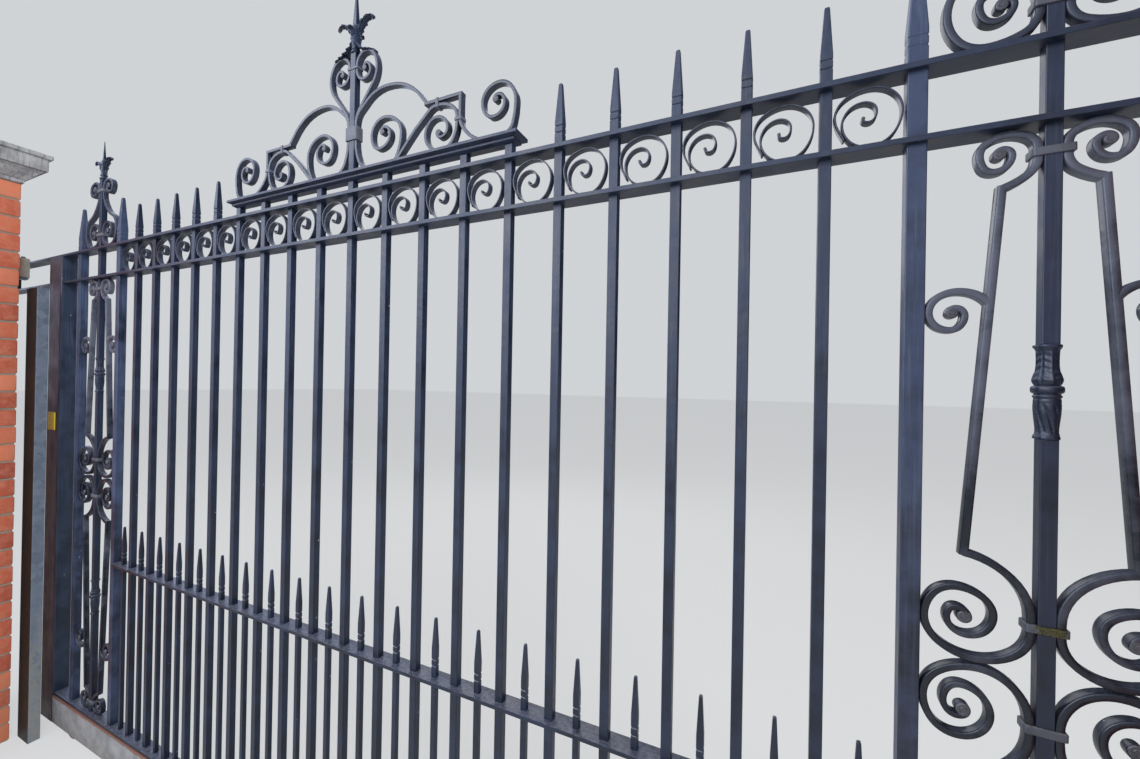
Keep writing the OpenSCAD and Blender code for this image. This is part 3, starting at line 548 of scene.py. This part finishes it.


# The snub: a disc at the strap's free end, domed at the rims, with a ring groove round a small boss on its
# front and back. Those faces take the second material, whose pale grey is a painted highlight.
def close_with_snub(strap, eye, snub, deep):
    sides = 24
    knob = bmesh.ops.create_cone(strap, cap_ends=True, segments=sides, radius1=snub, radius2=snub,
                                 depth=deep * 0.98,
                                 matrix=Matrix.Translation(eye) @ Matrix.Rotation(math.pi / 2, 4, "X"))
    ends = [face for face in {face for vert in knob["verts"] for face in vert.link_faces}
            if len(face.verts) == sides]
    rims = {edge for face in ends for edge in face.edges}
    bmesh.ops.bevel(strap, geom=list(rims), offset=snub * 0.3, offset_type="OFFSET", segments=4,
                    profile=0.5, affect="EDGES", material=-1)
    ends = [face for face in strap.faces if len(face.verts) == sides]
    for thickness, depth in ((snub * 0.18, 0.0), (snub * 0.06, -0.5), (snub * 0.08, 0.9)):
        bmesh.ops.inset_individual(strap, faces=ends, thickness=thickness, depth=depth)
    reach = (snub * 0.9) ** 2 + deep ** 2 / 4
    for face in strap.faces:
        middle = face.calc_center_median()
        if (middle - eye).length_squared < reach and abs(face.normal.y) > 0.5 and abs(middle.y) > deep * 0.4:
            face.material_index = 1


# A bend below the first value, per millimetre, counts as straight. An arc has a step every few degrees.
nearly_straight = 0.00002
turn_per_step = 7.0


def bend_strap(shape, path, wide, deep, snub=0.0, drawn=1.0, square=0.5):
    strap = bmesh.new()
    ring = bmesh.ops.create_circle(strap, segments=20, radius=1.0)["verts"]
    for vert in ring:
        vert.co = Vector((0.0, math.copysign(abs(vert.co.y) ** (square * 0.85), vert.co.y) * deep / 2,
                          math.copysign(abs(vert.co.x) ** square, vert.co.x) * wide / 2))
    bmesh.ops.contextual_create(strap, geom=list({edge for vert in ring for edge in vert.link_edges}))
    turn_to_start = Matrix.Rotation(math.radians(-path[0][2]), 3, "Y")
    bmesh.ops.rotate(strap, verts=ring, cent=(0, 0, 0), matrix=turn_to_start)
    bmesh.ops.translate(strap, verts=ring, vec=(path[0][0], 0.0, path[0][1]))
    arcs = arc_pairs(path)
    sizes = []
    for p, q in arcs:
        v = Vector((q[0] - p[0], 0.0, q[1] - p[1]))
        side = v.dot(left_of(p[2]))
        bend = 2 * side / v.dot(v)
        turn = 2 * math.atan2(side, v.dot(way(p[2])))
        sizes.append((v.length if abs(bend) < nearly_straight else abs(turn / bend), bend, turn, v))
    whole = sum(size[0] for size in sizes)
    gone = 0.0
    end = list(strap.edges)
    for (p, q), (length, bend, turn, v) in zip(arcs, sizes):
        steps = max(1, round(abs(math.degrees(turn)) / turn_per_step))
        at = Vector((p[0], 0.0, p[1]))
        centre = None if abs(bend) < nearly_straight else at + left_of(p[2]) / bend
        for step in range(steps):
            if centre is None:
                last = bmesh.ops.extrude_edge_only(strap, edges=end)["geom"]
                verts = [item for item in last if isinstance(item, bmesh.types.BMVert)]
                bmesh.ops.translate(strap, verts=verts, vec=v / steps)
                at = at + v / steps
            else:
                last = bmesh.ops.spin(strap, geom=end, cent=centre, axis=(0, -1, 0), angle=turn / steps,
                                      steps=1, use_duplicate=False)["geom_last"]
                verts = [item for item in last if isinstance(item, bmesh.types.BMVert)]
                at = centre + Matrix.Rotation(-turn / steps, 3, "Y") @ (at - centre)
            end = [item for item in last if isinstance(item, bmesh.types.BMEdge)]
            before = 1.0 - (1.0 - drawn) * (gone / whole) ** 2
            gone += length / steps
            after = 1.0 - (1.0 - drawn) * (gone / whole) ** 2
            bmesh.ops.scale(strap, verts=verts, vec=(after / before, 1.0, after / before),
                            space=Matrix.Translation(-at))
    bmesh.ops.contextual_create(strap, geom=end)
    if snub:
        inward = math.copysign(snub - wide * drawn / 2, sizes[-1][1])
        close_with_snub(strap, at + left_of(path[-1][2]) * inward, snub, deep)
    bmesh.ops.recalc_face_normals(strap, faces=strap.faces)
    add_shape(shape, strap)
    strap.free()


# A shape of the leaf is drawn in millimetres, from the middle of the left inner frame bar and the top rail's
# upper face, and then moved to its place in metres.
left_bar = (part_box("left_inner_bar")[0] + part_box("left_inner_bar")[1]) / 2
rail_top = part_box("top_rail")[1].z


def set_in_gate(shape, x=0.0):
    bmesh.ops.scale(shape, verts=shape.verts, vec=(MM, MM, MM))
    bmesh.ops.translate(shape, verts=shape.verts, vec=(left_bar.x + x * MM, left_bar.y, rail_top))


# The frieze. One thin scroll of strap iron to each bay, standing on the second rail and wedged between the
# bars. The first one stands a little aside, clear of the thicker frame bar.
pitch, bays = 130.0, 20
frieze, rail_thick = 122.0, 10.0
frieze_strap, frieze_deep = 4.0, 18.0
clear_of_frame_bar = 4.0
scroll_low = (frieze - rail_thick - frieze_strap) / 2
frieze_path = [
    [-37, -36, 115], [-51, 6, 90], [-1, 48, 0], [46.5, 0, -90], [2, -scroll_low, 180], [-40, -9, 90],
    [-10, 24, 0], [10.5, 5, -90], [-1, -11.5, 180], [-10, -4, 90]]
scroll = bmesh.new()
bend_strap(scroll, frieze_path, frieze_strap, frieze_deep, 3.0)
frieze_scrolls = bmesh.new()
for bay in range(bays):
    aside = clear_of_frame_bar if bay == 0 else 0.0
    add_shape(frieze_scrolls, scroll, x=(bay + 0.5) * pitch + aside, z=-(frieze + rail_thick) / 2)
scroll.free()
set_in_gate(frieze_scrolls)
# Paint high on the gate: cleaner, with little dust. The snubs are less glossy, and their pale grey is a
# painted highlight.
high_paint = iron_paint("satin_blue_black_paint_on_high_scrolls", "131a27", "363c4b", "747a8e", streaks=0.0,
                        dusty=0.4, roughness=0.3)
snub_highlight_paint = iron_paint("painted_highlight_on_snub_ends", "3a3b43", "54565f", "94959b", streaks=0.0, roughness=0.45)
place_piece("frieze_scroll_straps", frieze_scrolls, high_paint, "leaf", "frieze_scrolls",
            second=snub_highlight_paint)

# The panels. Four sets of scrolls to each of the two ornamental panels, mirrored about its middle bar and
# bound to it by collars. The legs between the volutes are the same strap, left straight.
panel_wide, panel_bar, strap, strap_deep = 332.0, 21.0, 12.0, 19.0
grip = (panel_bar + strap) / 2
panel_low = -1960 - frieze - rail_thick
top_volute = [
    [-grip, -180, 90], [-grip, -166, 90], [-51, -138, 180], [-85, -166, -90], [-66, -194, 0], [-46, -172, 90],
    [-57, -160, 180], [-65, -168, -90]]
top_shoulder = [[-grip, -178, -90], [-grip, -180, -90], [-56, -221, 200]]
upper_leg = [[-57, -217, -94], [-97, -801, -94]]
side_volute = [
    [-69, -402, 120], [-110, -379, 180], [-146, -412, -90], [-118, -441, 0], [-100, -419, 90],
    [-112, -405, 180], [-120, -414, -90]]
upper_elbow = [[-97, -797, -8], [-grip, -886, -90], [-grip, -905, -90]]
upper_scroll = [
    [-grip, -904, -90], [-81, -962, 180], [-146, -905, 90], [-104, -853, 0], [-60, -890, -90],
    [-93, -927, 180], [-117, -902, 90], [-104, -885, 0], [-89.5, -899, -90]]
lower_scroll = [
    [-grip, -1044, 90], [-79, -976, 180], [-146, -1035, -90], [-104, -1089, 0], [-62, -1045, 90],
    [-98, -1008, 180], [-120, -1036, -90], [-103, -1058, 0], [-89.5, -1046, 90]]
lower_elbow = [[-grip, -1042, -90], [-grip, -1062, -90], [-98, -1150, 188]]
lower_leg = [[-97, -1146, -86], [-57, panel_low + 217, -86]]


def flipped(path):
    return [[x, panel_low - z, -heading] for x, z, heading in path]


def scroll_set(straps):
    half_set, whole_set = bmesh.new(), bmesh.new()
    for path, snub in straps:
        bend_strap(half_set, path, strap, strap_deep, snub, 0.75 if snub else 1.0, 0.36)
    add_shape(whole_set, half_set)
    add_shape(whole_set, half_set, mirrored=True)
    half_set.free()
    return whole_set


panel_straps = {
    "upper_scrolls": [(top_volute, 8.5), (top_shoulder, 0.0), (upper_leg, 0.0), (side_volute, 8.5),
                      (upper_elbow, 0.0), (upper_scroll, 10.0)],
    "lower_scrolls": [(lower_scroll, 10.0), (lower_elbow, 0.0), (lower_leg, 0.0), (flipped(side_volute), 8.5),
                      (flipped(top_shoulder), 0.0), (flipped(top_volute), 8.5)],
}
panel_middles = {"left": -panel_wide / 2, "right": bays * pitch + panel_wide / 2}
# Paint on the panels' straps: glossy, with painted shade at the foot and painted light, blue grey, at the
# head.
scroll_paint = iron_paint("satin_blue_black_paint_on_scrolls", "131a27", "575c6b", "747a8e", streaks=0.0,
                          dusty=0.25, roughness=0.28, foot_z=1.2, head_z=1.75, foot_tone=-0.22)
for set_name, straps in panel_straps.items():
    for side, middle_x in panel_middles.items():
        scroll = scroll_set(straps)
        set_in_gate(scroll, middle_x)
        place_piece(side + "_" + set_name + "_straps", scroll, scroll_paint, "leaf",
                    side + "_" + set_name, second=snub_highlight_paint)

# The finials over the panels. A pair of volutes, a pair of lyre arms and a pair of curls to each.
finial_volute = [
    [-grip, 44, 90], [-grip, 64, 90], [-53, 104, 180], [-88, 72, -90], [-67, 44, 0], [-46, 64, 90],
    [-57, 75, 180], [-65, 67, -90]]
finial_arm = [
    [-grip, 46, -90], [-76, strap / 2, 180], [-128, 70, 90], [-92, 130, 20], [-48, 163, 50],
    [-grip, 232, 90], [-grip, 252, 90]]
finial_curl = [
    [-grip, 250, 90], [-53, 283, 180], [-91, 254, -90], [-68, 227, 0], [-46, 249, 90], [-57, 263, 180],
    [-65, 255, -90]]
for side, middle_x in panel_middles.items():
    scroll = scroll_set([(finial_volute, 8.5), (finial_arm, 0.0), (finial_curl, 8.5)])
    set_in_gate(scroll, middle_x)
    place_piece(side + "_finial_straps", scroll, high_paint, "leaf", side + "_finial_scrolls",
                second=snub_highlight_paint)

# The crest. Seven straps to each side of its bar: the lyre, the arch, the squared step and its leg, the foot
# strap, the big volute and the rising scroll, all standing on the moulded ledge.
crest_core, crest_strap, crest_deep = 20.0, 9.0, 19.0
crest_grip = (crest_core + crest_strap) / 2
lie = 53 + crest_strap / 2
lyre = [
    [crest_grip, 147, 90], [crest_grip, 196, 90], [50, 262, 48], [91, 340, 90], [47, 396, 180],
    [crest_grip, 362, -90], [crest_grip, 350, -90], [42, 317, 0], [66, 338, 90], [50, 360, 180],
    [40, 348, -90]]
arch = [[crest_grip + 1, 198, 88], [56, 250, 40], [124, 274, 0], [202, 256, -29], [268, 192, -55]]
step_down = [[262, 190, 0], [380.5, 190, 0]]
leg = [
    [376, 194, -90], [376, 132, -90], [402, 82, -44], [455, lie, 0], [498, lie, 0], [537, 132, 90],
    [488, 189, 180], [443, 148, -90], [476, 108, 0], [506, 138, 90], [488, 160, 180], [476, 150, -90]]
foot_strap = [[crest_grip, 150, -90], [crest_grip, 147, -90], [72, lie, 0], [170, lie, 0]]
big_volute = [
    [158, lie - 1, 50], [184, 132, 90], [121, 188, 180], [77, 144, -90], [107, 104, 0], [144, 136, 90],
    [122, 161, 180], [111, 149, -90]]
rising = [
    [164, lie, 45], [258, 152, 38], [299, 177, 0], [309, 177, 0], [367.2, 132, -90], [367.2, 122, -90],
    [320, lie, 180], [267, 106, 90], [302, 146, 0], [338, 112, -90], [316, 92, 180], [304, 106, 90]]
crest_half = bmesh.new()
for path, snub in ((lyre, 7.5), (arch, 0.0), (step_down, 0.0), (leg, 8.0), (foot_strap, 0.0),
                   (big_volute, 8.0), (rising, 8.0)):
    bend_strap(crest_half, path, crest_strap, crest_deep, snub, 0.9 if snub else 1.0, 0.18)
for side in ("left", "right"):
    scroll = bmesh.new()
    add_shape(scroll, crest_half, mirrored=side == "left")
    set_in_gate(scroll, bays * pitch / 2)
    place_piece("crest_" + side + "_straps", scroll, high_paint, "leaf",
                "crest_" + side + "_scrolls", second=snub_highlight_paint)
crest_half.free()

# The bosses. Two cast bosses are threaded on each panel's middle bar. Above the ring of each, four upright
# leaves with cross ribs swell out; below it, eight lobes wrap round on the slant to a flared foot.
boss_edge = [
    (15.6, 0), (16, 1.5), (16, 3), (14.6, 5.5), (12.8, 9), (12.2, 18), (12.2, 30), (12.9, 40), (14.8, 47),
    (16.4, 52), (16.6, 55), (15.8, 59), (14.2, 61.8), (17, 62.8), (18.3, 65), (18.5, 68), (18.3, 71),
    (17, 73.2), (14.8, 74), (14.6, 76), (16, 77), (16.2, 78.5), (15.6, 80), (14.6, 81.5), (15.2, 84),
    (15.2, 92), (14.6, 104), (13, 118), (12.2, 128), (12.6, 133), (14.2, 137.5), (15, 140), (14.8, 143)]
bore, boss_high = 9.0, 143.0
boss_tops = (-467.0, -1407.0)
leaves_from, leaves_to = 6.0, 61.0
lobes_from, lobes_to = 88.0, 136.0


def boss_shape():
    boss = bmesh.new()
    edge = [boss.verts.new((bore, 0.0, 0.0))]
    for (near, top), (far, low) in zip(boss_edge, boss_edge[1:]):
        steps = max(1, round((low - top) / 1.6))
        for step in range(steps):
            share = step / steps
            edge.append(boss.verts.new((near + (far - near) * share, 0.0, -(top + (low - top) * share))))
    edge.append(boss.verts.new((boss_edge[-1][0], 0.0, -boss_high)))
    edge.append(boss.verts.new((bore, 0.0, -boss_high)))
    line = [boss.edges.new(pair) for pair in zip(edge, edge[1:])]
    bmesh.ops.spin(boss, geom=edge + line, cent=(0, 0, 0), axis=(0, 0, 1), angle=math.tau, steps=72,
                   use_merge=True)
    for vert in boss.verts:
        round_bar = math.hypot(vert.co.x, vert.co.y)
        if round_bar < bore + 2.0:
            continue
        around, down = math.atan2(vert.co.y, vert.co.x), -vert.co.z
        relief = 0.0
        if leaves_from < down < leaves_to:
            leaf = abs((around / math.tau * 4 + 0.5) % 1.0 - 0.5) * 2
            fade = min(1.0, (down - leaves_from) / 8.0, (leaves_to - down) / 4.0)
            vein = 1.3 * math.exp(-(leaf / 0.16) ** 2)
            rib = 0.45 * math.sin((down + 5.0 * leaf) / 10.5 * math.tau) * (0.2 < leaf < 0.86)
            gap = -1.7 * math.exp(-((1.0 - leaf) / 0.12) ** 2)
            relief = fade * (vein + rib + gap + 0.8 * math.exp(-((down - 47.0) / 7.0) ** 2) * (1.0 - leaf))
        elif lobes_from < down < lobes_to:
            fade = min(1.0, (down - lobes_from) / 10.0, (lobes_to - down) / 6.0)
            lobe = abs((around / math.tau * 8 - down / 40.0) % 1.0 - 0.5) * 2
            relief = fade * (0.8 - 2.0 * lobe ** 4)
        elif down > 137.0 or down < 4.0:
            relief = 0.5 * math.sin(around * 5)
        vert.co.x *= 1 + relief / round_bar
        vert.co.y *= 1 + relief / round_bar
    bmesh.ops.recalc_face_normals(boss, faces=boss.faces)
    return boss


# Paint on castings: dark and rather glossy, with a little dust on what faces up.
cast_paint = iron_paint("satin_blue_black_paint_on_castings", "131a28", "1f2a3f", "7d8294", streaks=0.0,
                        dusty=0.5, roughness=0.34)
one_boss = boss_shape()
for side, middle_x in panel_middles.items():
    bosses = bmesh.new()
    for top in boss_tops:
        add_shape(bosses, one_boss, z=top)
    set_in_gate(bosses, middle_x)
    place_piece(side + "_cast_bosses", bosses, cast_paint, "leaf", side + "_panel_bosses", 50.0)
one_boss.free()


# The collars. Each is a strip of iron bent hot round the bar and the straps beside it, its corners drawn
# round. They are never quite level. One on the right panel has a green stain from the damp.
def bent_collar(shape, x, z, wide, deep, high, thick, lying=False):
    collar = bmesh.new()
    bmesh.ops.create_cube(collar, size=1.0)
    bmesh.ops.scale(collar, verts=collar.verts, vec=(wide + 2 * thick, deep + 2 * thick, high))
    uprights = [edge for edge in collar.edges if abs(edge.verts[0].co.z - edge.verts[1].co.z) > 0.1]
    bmesh.ops.bevel(collar, geom=uprights, offset=thick * 1.3, offset_type="OFFSET", segments=4, profile=0.5,
                    affect="EDGES", material=-1)
    rims = [edge for edge in collar.edges if abs(edge.verts[0].co.z - edge.verts[1].co.z) < 0.1]
    bmesh.ops.bevel(collar, geom=rims, offset=0.9, offset_type="OFFSET", segments=2, profile=0.5,
                    affect="EDGES", material=-1)
    tilt = Euler((0.0, math.radians(seed.uniform(-1.2, 1.2)) + (math.pi / 2 if lying else 0.0), 0.0))
    bmesh.ops.rotate(collar, verts=collar.verts, cent=(0, 0, 0), matrix=tilt.to_matrix())
    add_shape(shape, collar, x=x, z=z)
    collar.free()


# Paint on collars: worn to a matt grey, and dusty on top.
collar_paint = iron_paint("worn_paint_on_collars", "3a3f4a", "5c606b", "94959b", streaks=0.0, dusty=0.9,
                          roughness=0.5)
tree = collar_paint.node_tree
shader = tree.nodes["Principled BSDF"]
bare_paint = shader.inputs["Base Color"].links[0].from_socket
place = add(tree, "TexCoord").outputs["Object"]
damp_spot = Vector((left_bar.x + (panel_middles["right"] + 4) * MM, left_bar.y - 16 * MM,
                    rail_top - 892 * MM))
away = add(tree, "VectorMath", {0: place, 1: damp_spot}, operation="DISTANCE").outputs["Value"]
patch = add(tree, "TexNoise", {"Vector": place, "Scale": 1 / (6 * MM), "Detail": 5.0, "Roughness": 0.7})
spread = add(tree, "MapRange", {"Value": away, "From Min": 0.012, "From Max": 0.036, "To Min": 0.2,
                                "To Max": -0.4})
reach = add(tree, "Math", {0: patch.outputs[0], 1: spread.outputs[0]}, operation="ADD")
stained = add(tree, "MapRange", {"Value": reach.outputs[0], "From Min": 0.5, "From Max": 0.6})
fleck = add(tree, "TexNoise", {"Vector": place, "Scale": 1 / (2.5 * MM), "Detail": 3.0, "Roughness": 0.7})
green = add(tree, "ValToRGB", {"Fac": fleck.outputs[0]}, ((0.4, "1d1b0e"), (0.62, "55562a")))
tinted = add(tree, "Mix", {"Factor": stained.outputs[0], "A": bare_paint, "B": green.outputs["Color"]},
             data_type="RGBA")
tree.links.new(tinted.outputs["Result"], shader.inputs["Base Color"])
collar_heights = (-173.0, -897.0, -1050.0, panel_low + 173.0, 55.0, 242.0)
for side, middle_x in panel_middles.items():
    collars = bmesh.new()
    for z in collar_heights:
        bent_collar(collars, 0.0, z, panel_bar + 2 * strap - 1.0, panel_bar, 12.0, 3.0)
    set_in_gate(collars, middle_x)
    place_piece(side + "_bent_collars", collars, collar_paint, "leaf", side + "_panel_collars")
collars = bmesh.new()
core = crest_core + 2 * crest_strap
bent_collar(collars, 0.0, 167.0, core, crest_deep + 1.0, 38.0, 3.4)
bent_collar(collars, 0.0, 356.0, core - 1.0, crest_deep + 1.0, 7.0, 1.8)
for way_out in (-1, 1):
    bent_collar(collars, way_out * 304.0, 183.5, 13.0 + crest_strap, crest_deep, 8.0, 2.2, True)
    bent_collar(collars, way_out * 371.6, 127.0, 8.8 + crest_strap, crest_deep, 8.0, 2.2)
set_in_gate(collars, bays * pitch / 2)
place_piece("crest_bent_collars", collars, collar_paint, "leaf", "crest_collars")


# The leaves of the castings. Each is a thin web of cast iron, bent along its midrib and hollowed to both
# sides, with toothed edges and low veins. This gives the point at a share of a midrib, and its heading.
def along(path, share):
    arcs = arc_pairs(path)
    chords = [math.hypot(q[0] - p[0], q[1] - p[1]) for p, q in arcs]
    to_go = share * sum(chords)
    for (p, q), chord in zip(arcs, chords):
        if to_go <= chord or q is arcs[-1][1]:
            break
        to_go -= chord
    s = min(1.0, to_go / chord)
    v = Vector((q[0] - p[0], 0.0, q[1] - p[1]))
    turn = 2 * math.degrees(math.atan2(v.z * way(p[2]).x - v.x * way(p[2]).z, v.dot(way(p[2]))))
    if abs(turn) < 0.01:
        return Vector((p[0], 0.0, p[1])) + v * s, p[2]
    radius = chord / 2 / math.sin(math.radians(turn) / 2)
    centre = Vector((p[0], 0.0, p[1])) + left_of(p[2]) * radius
    heading = p[2] + turn * s
    return centre - left_of(heading) * radius, heading


def cast_leaf(shape, path, half_wide, thick, teeth, turned=0.0, cup=5.0):
    leaf = bmesh.new()
    bmesh.ops.create_grid(leaf, x_segments=36, y_segments=14, size=1.0)
    for vert in leaf.verts:
        share, across = (vert.co.x + 1) / 2, vert.co.y
        saw = (share * teeth) % 1.0
        tooth = 1.0 - 0.32 * (1.0 - saw) ** 1.5 * abs(across) ** 3
        belly = math.sin(math.pi * min(1.0, 0.16 + share * 0.8)) ** 0.7
        half = half_wide * belly * tooth
        place, heading = along(path, share)
        rib = 1.6 * math.exp(-(across / 0.14) ** 2) - 0.9 * math.exp(-((abs(across) - 0.32) / 0.12) ** 2)
        veins = 0.5 * math.sin((share * teeth - abs(across) * 0.8) * math.tau) * abs(across)
        lift = -rib - veins - cup * across * across * belly
        vert.co = place + left_of(heading) * lift + Vector((0, across * half, 0))
    bmesh.ops.recalc_face_normals(leaf, faces=leaf.faces)
    bmesh.ops.solidify(leaf, geom=leaf.faces, thickness=thick)
    bmesh.ops.rotate(leaf, verts=leaf.verts, cent=(0, 0, 0), matrix=Matrix.Rotation(turned, 3, "Z"))
    bmesh.ops.recalc_face_normals(leaf, faces=leaf.faces)
    add_shape(shape, leaf)
    leaf.free()


# The stem of a casting. Turned rings at its foot, bands that wrap round it on the slant, and a square needle
# on top, all cast in one with the leaves.
def cast_stem(shape, edge, wrap_low, wrap_high, needle_wide, needle_low, tip):
    stem = bmesh.new()
    line_verts = [stem.verts.new((0.01, 0.0, edge[0][1]))]
    for (near, low), (far, top) in zip(edge, edge[1:]):
        steps = max(1, round((top - low) / 1.5))
        for step in range(steps):
            share = step / steps
            line_verts.append(stem.verts.new((near + (far - near) * share, 0.0, low + (top - low) * share)))
    line_verts.append(stem.verts.new((edge[-1][0], 0.0, edge[-1][1])))
    line_verts.append(stem.verts.new((0.01, 0.0, edge[-1][1])))
    line = [stem.edges.new(pair) for pair in zip(line_verts, line_verts[1:])]
    bmesh.ops.spin(stem, geom=line_verts + line, cent=(0, 0, 0), axis=(0, 0, 1), angle=math.tau, steps=40,
                   use_merge=True)
    for vert in stem.verts:
        out = math.hypot(vert.co.x, vert.co.y)
        if wrap_low < vert.co.z < wrap_high and out > 2.0:
            turns = (math.atan2(vert.co.y, vert.co.x) / math.tau * 2 + vert.co.z / 9.0) % 1.0
            grow = 1 + 1.4 * math.sin(math.pi * turns) ** 2 / out
            vert.co.x *= grow
            vert.co.y *= grow
    needle = bmesh.ops.create_cone(stem, cap_ends=True, segments=4, radius1=needle_wide * 0.7071,
                                   radius2=needle_wide * 0.16, depth=tip - needle_low,
                                   matrix=Matrix.Translation((0, 0, (tip + needle_low) / 2))
                                   @ Matrix.Rotation(math.pi / 4, 4, "Z"))
    corners = {edge for vert in needle["verts"] for edge in vert.link_edges}
    bmesh.ops.bevel(stem, geom=list(corners), offset=0.6, offset_type="OFFSET", segments=2, profile=0.5,
                    affect="EDGES", material=-1)
    bmesh.ops.remove_doubles(stem, verts=stem.verts, dist=0.02)
    bmesh.ops.recalc_face_normals(stem, faces=stem.faces)
    add_shape(shape, stem)
    stem.free()


# The finials' castings. Two leaves curl out from a ringed stem, and a thin needle stands between them.
finial_stem = [
    (14, 292), (15, 293.5), (15, 297), (11.5, 300), (11, 303), (11.2, 306), (13, 308), (12.8, 311),
    (10.5, 318), (10, 345), (12.5, 358), (12, 364), (8, 374), (5, 380)]
finial_blade = [[8, 322, 84], [22, 360, 52], [50, 379, 6], [72, 366, -66]]
for side, middle_x in panel_middles.items():
    casting = bmesh.new()
    cast_stem(casting, finial_stem, 318, 342, 10.0, 374, 455)
    for turned in (0.0, math.pi):
        cast_leaf(casting, finial_blade, 12.5, 3.4, 4, turned, 3.0)
    set_in_gate(casting, middle_x)
    place_piece(side + "_finial_casting", casting, cast_paint, "leaf",
                side + "_finial_leaf", 40.0)

# The crest's casting. A ringed stem with slanting bands carries long leaves to both sides and short ones to
# front and back. Two toothed leaves lie down on the shoulders of the lyre, and a needle stands on top.
crest_stem = [
    (13, 402), (14, 403.5), (14, 406), (11.5, 408.5), (11.3, 410.5), (12.8, 412), (13, 414), (11.4, 416),
    (11.4, 419), (13, 432), (15, 445), (14, 456), (16, 468), (13.5, 478), (8, 486)]
crest_blade = [[10, 452, 80], [26, 488, 48], [52, 500, 4], [72, 488, -62]]
short_blade = [[9, 444, 78], [20, 471, 34], [30, 464, -84]]
hanging_blade = [[8, 440, -80], [20, 420, -44], [50, 403, -9], [85, 385, -54]]
casting = bmesh.new()
cast_stem(casting, crest_stem, 418, 446, 15.0, 480, 590)
for turned in (0.0, math.pi):
    cast_leaf(casting, crest_blade, 14.0, 4.2, 4, turned, 4.0)
    cast_leaf(casting, short_blade, 9.5, 4.0, 3, turned + math.pi / 2, 3.0)
    cast_leaf(casting, hanging_blade, 21.0, 3.6, 6, turned, 6.0)
set_in_gate(casting, bays * pitch / 2)
place_piece("crest_casting", casting, cast_paint, "leaf", "crest_leaf", 40.0)
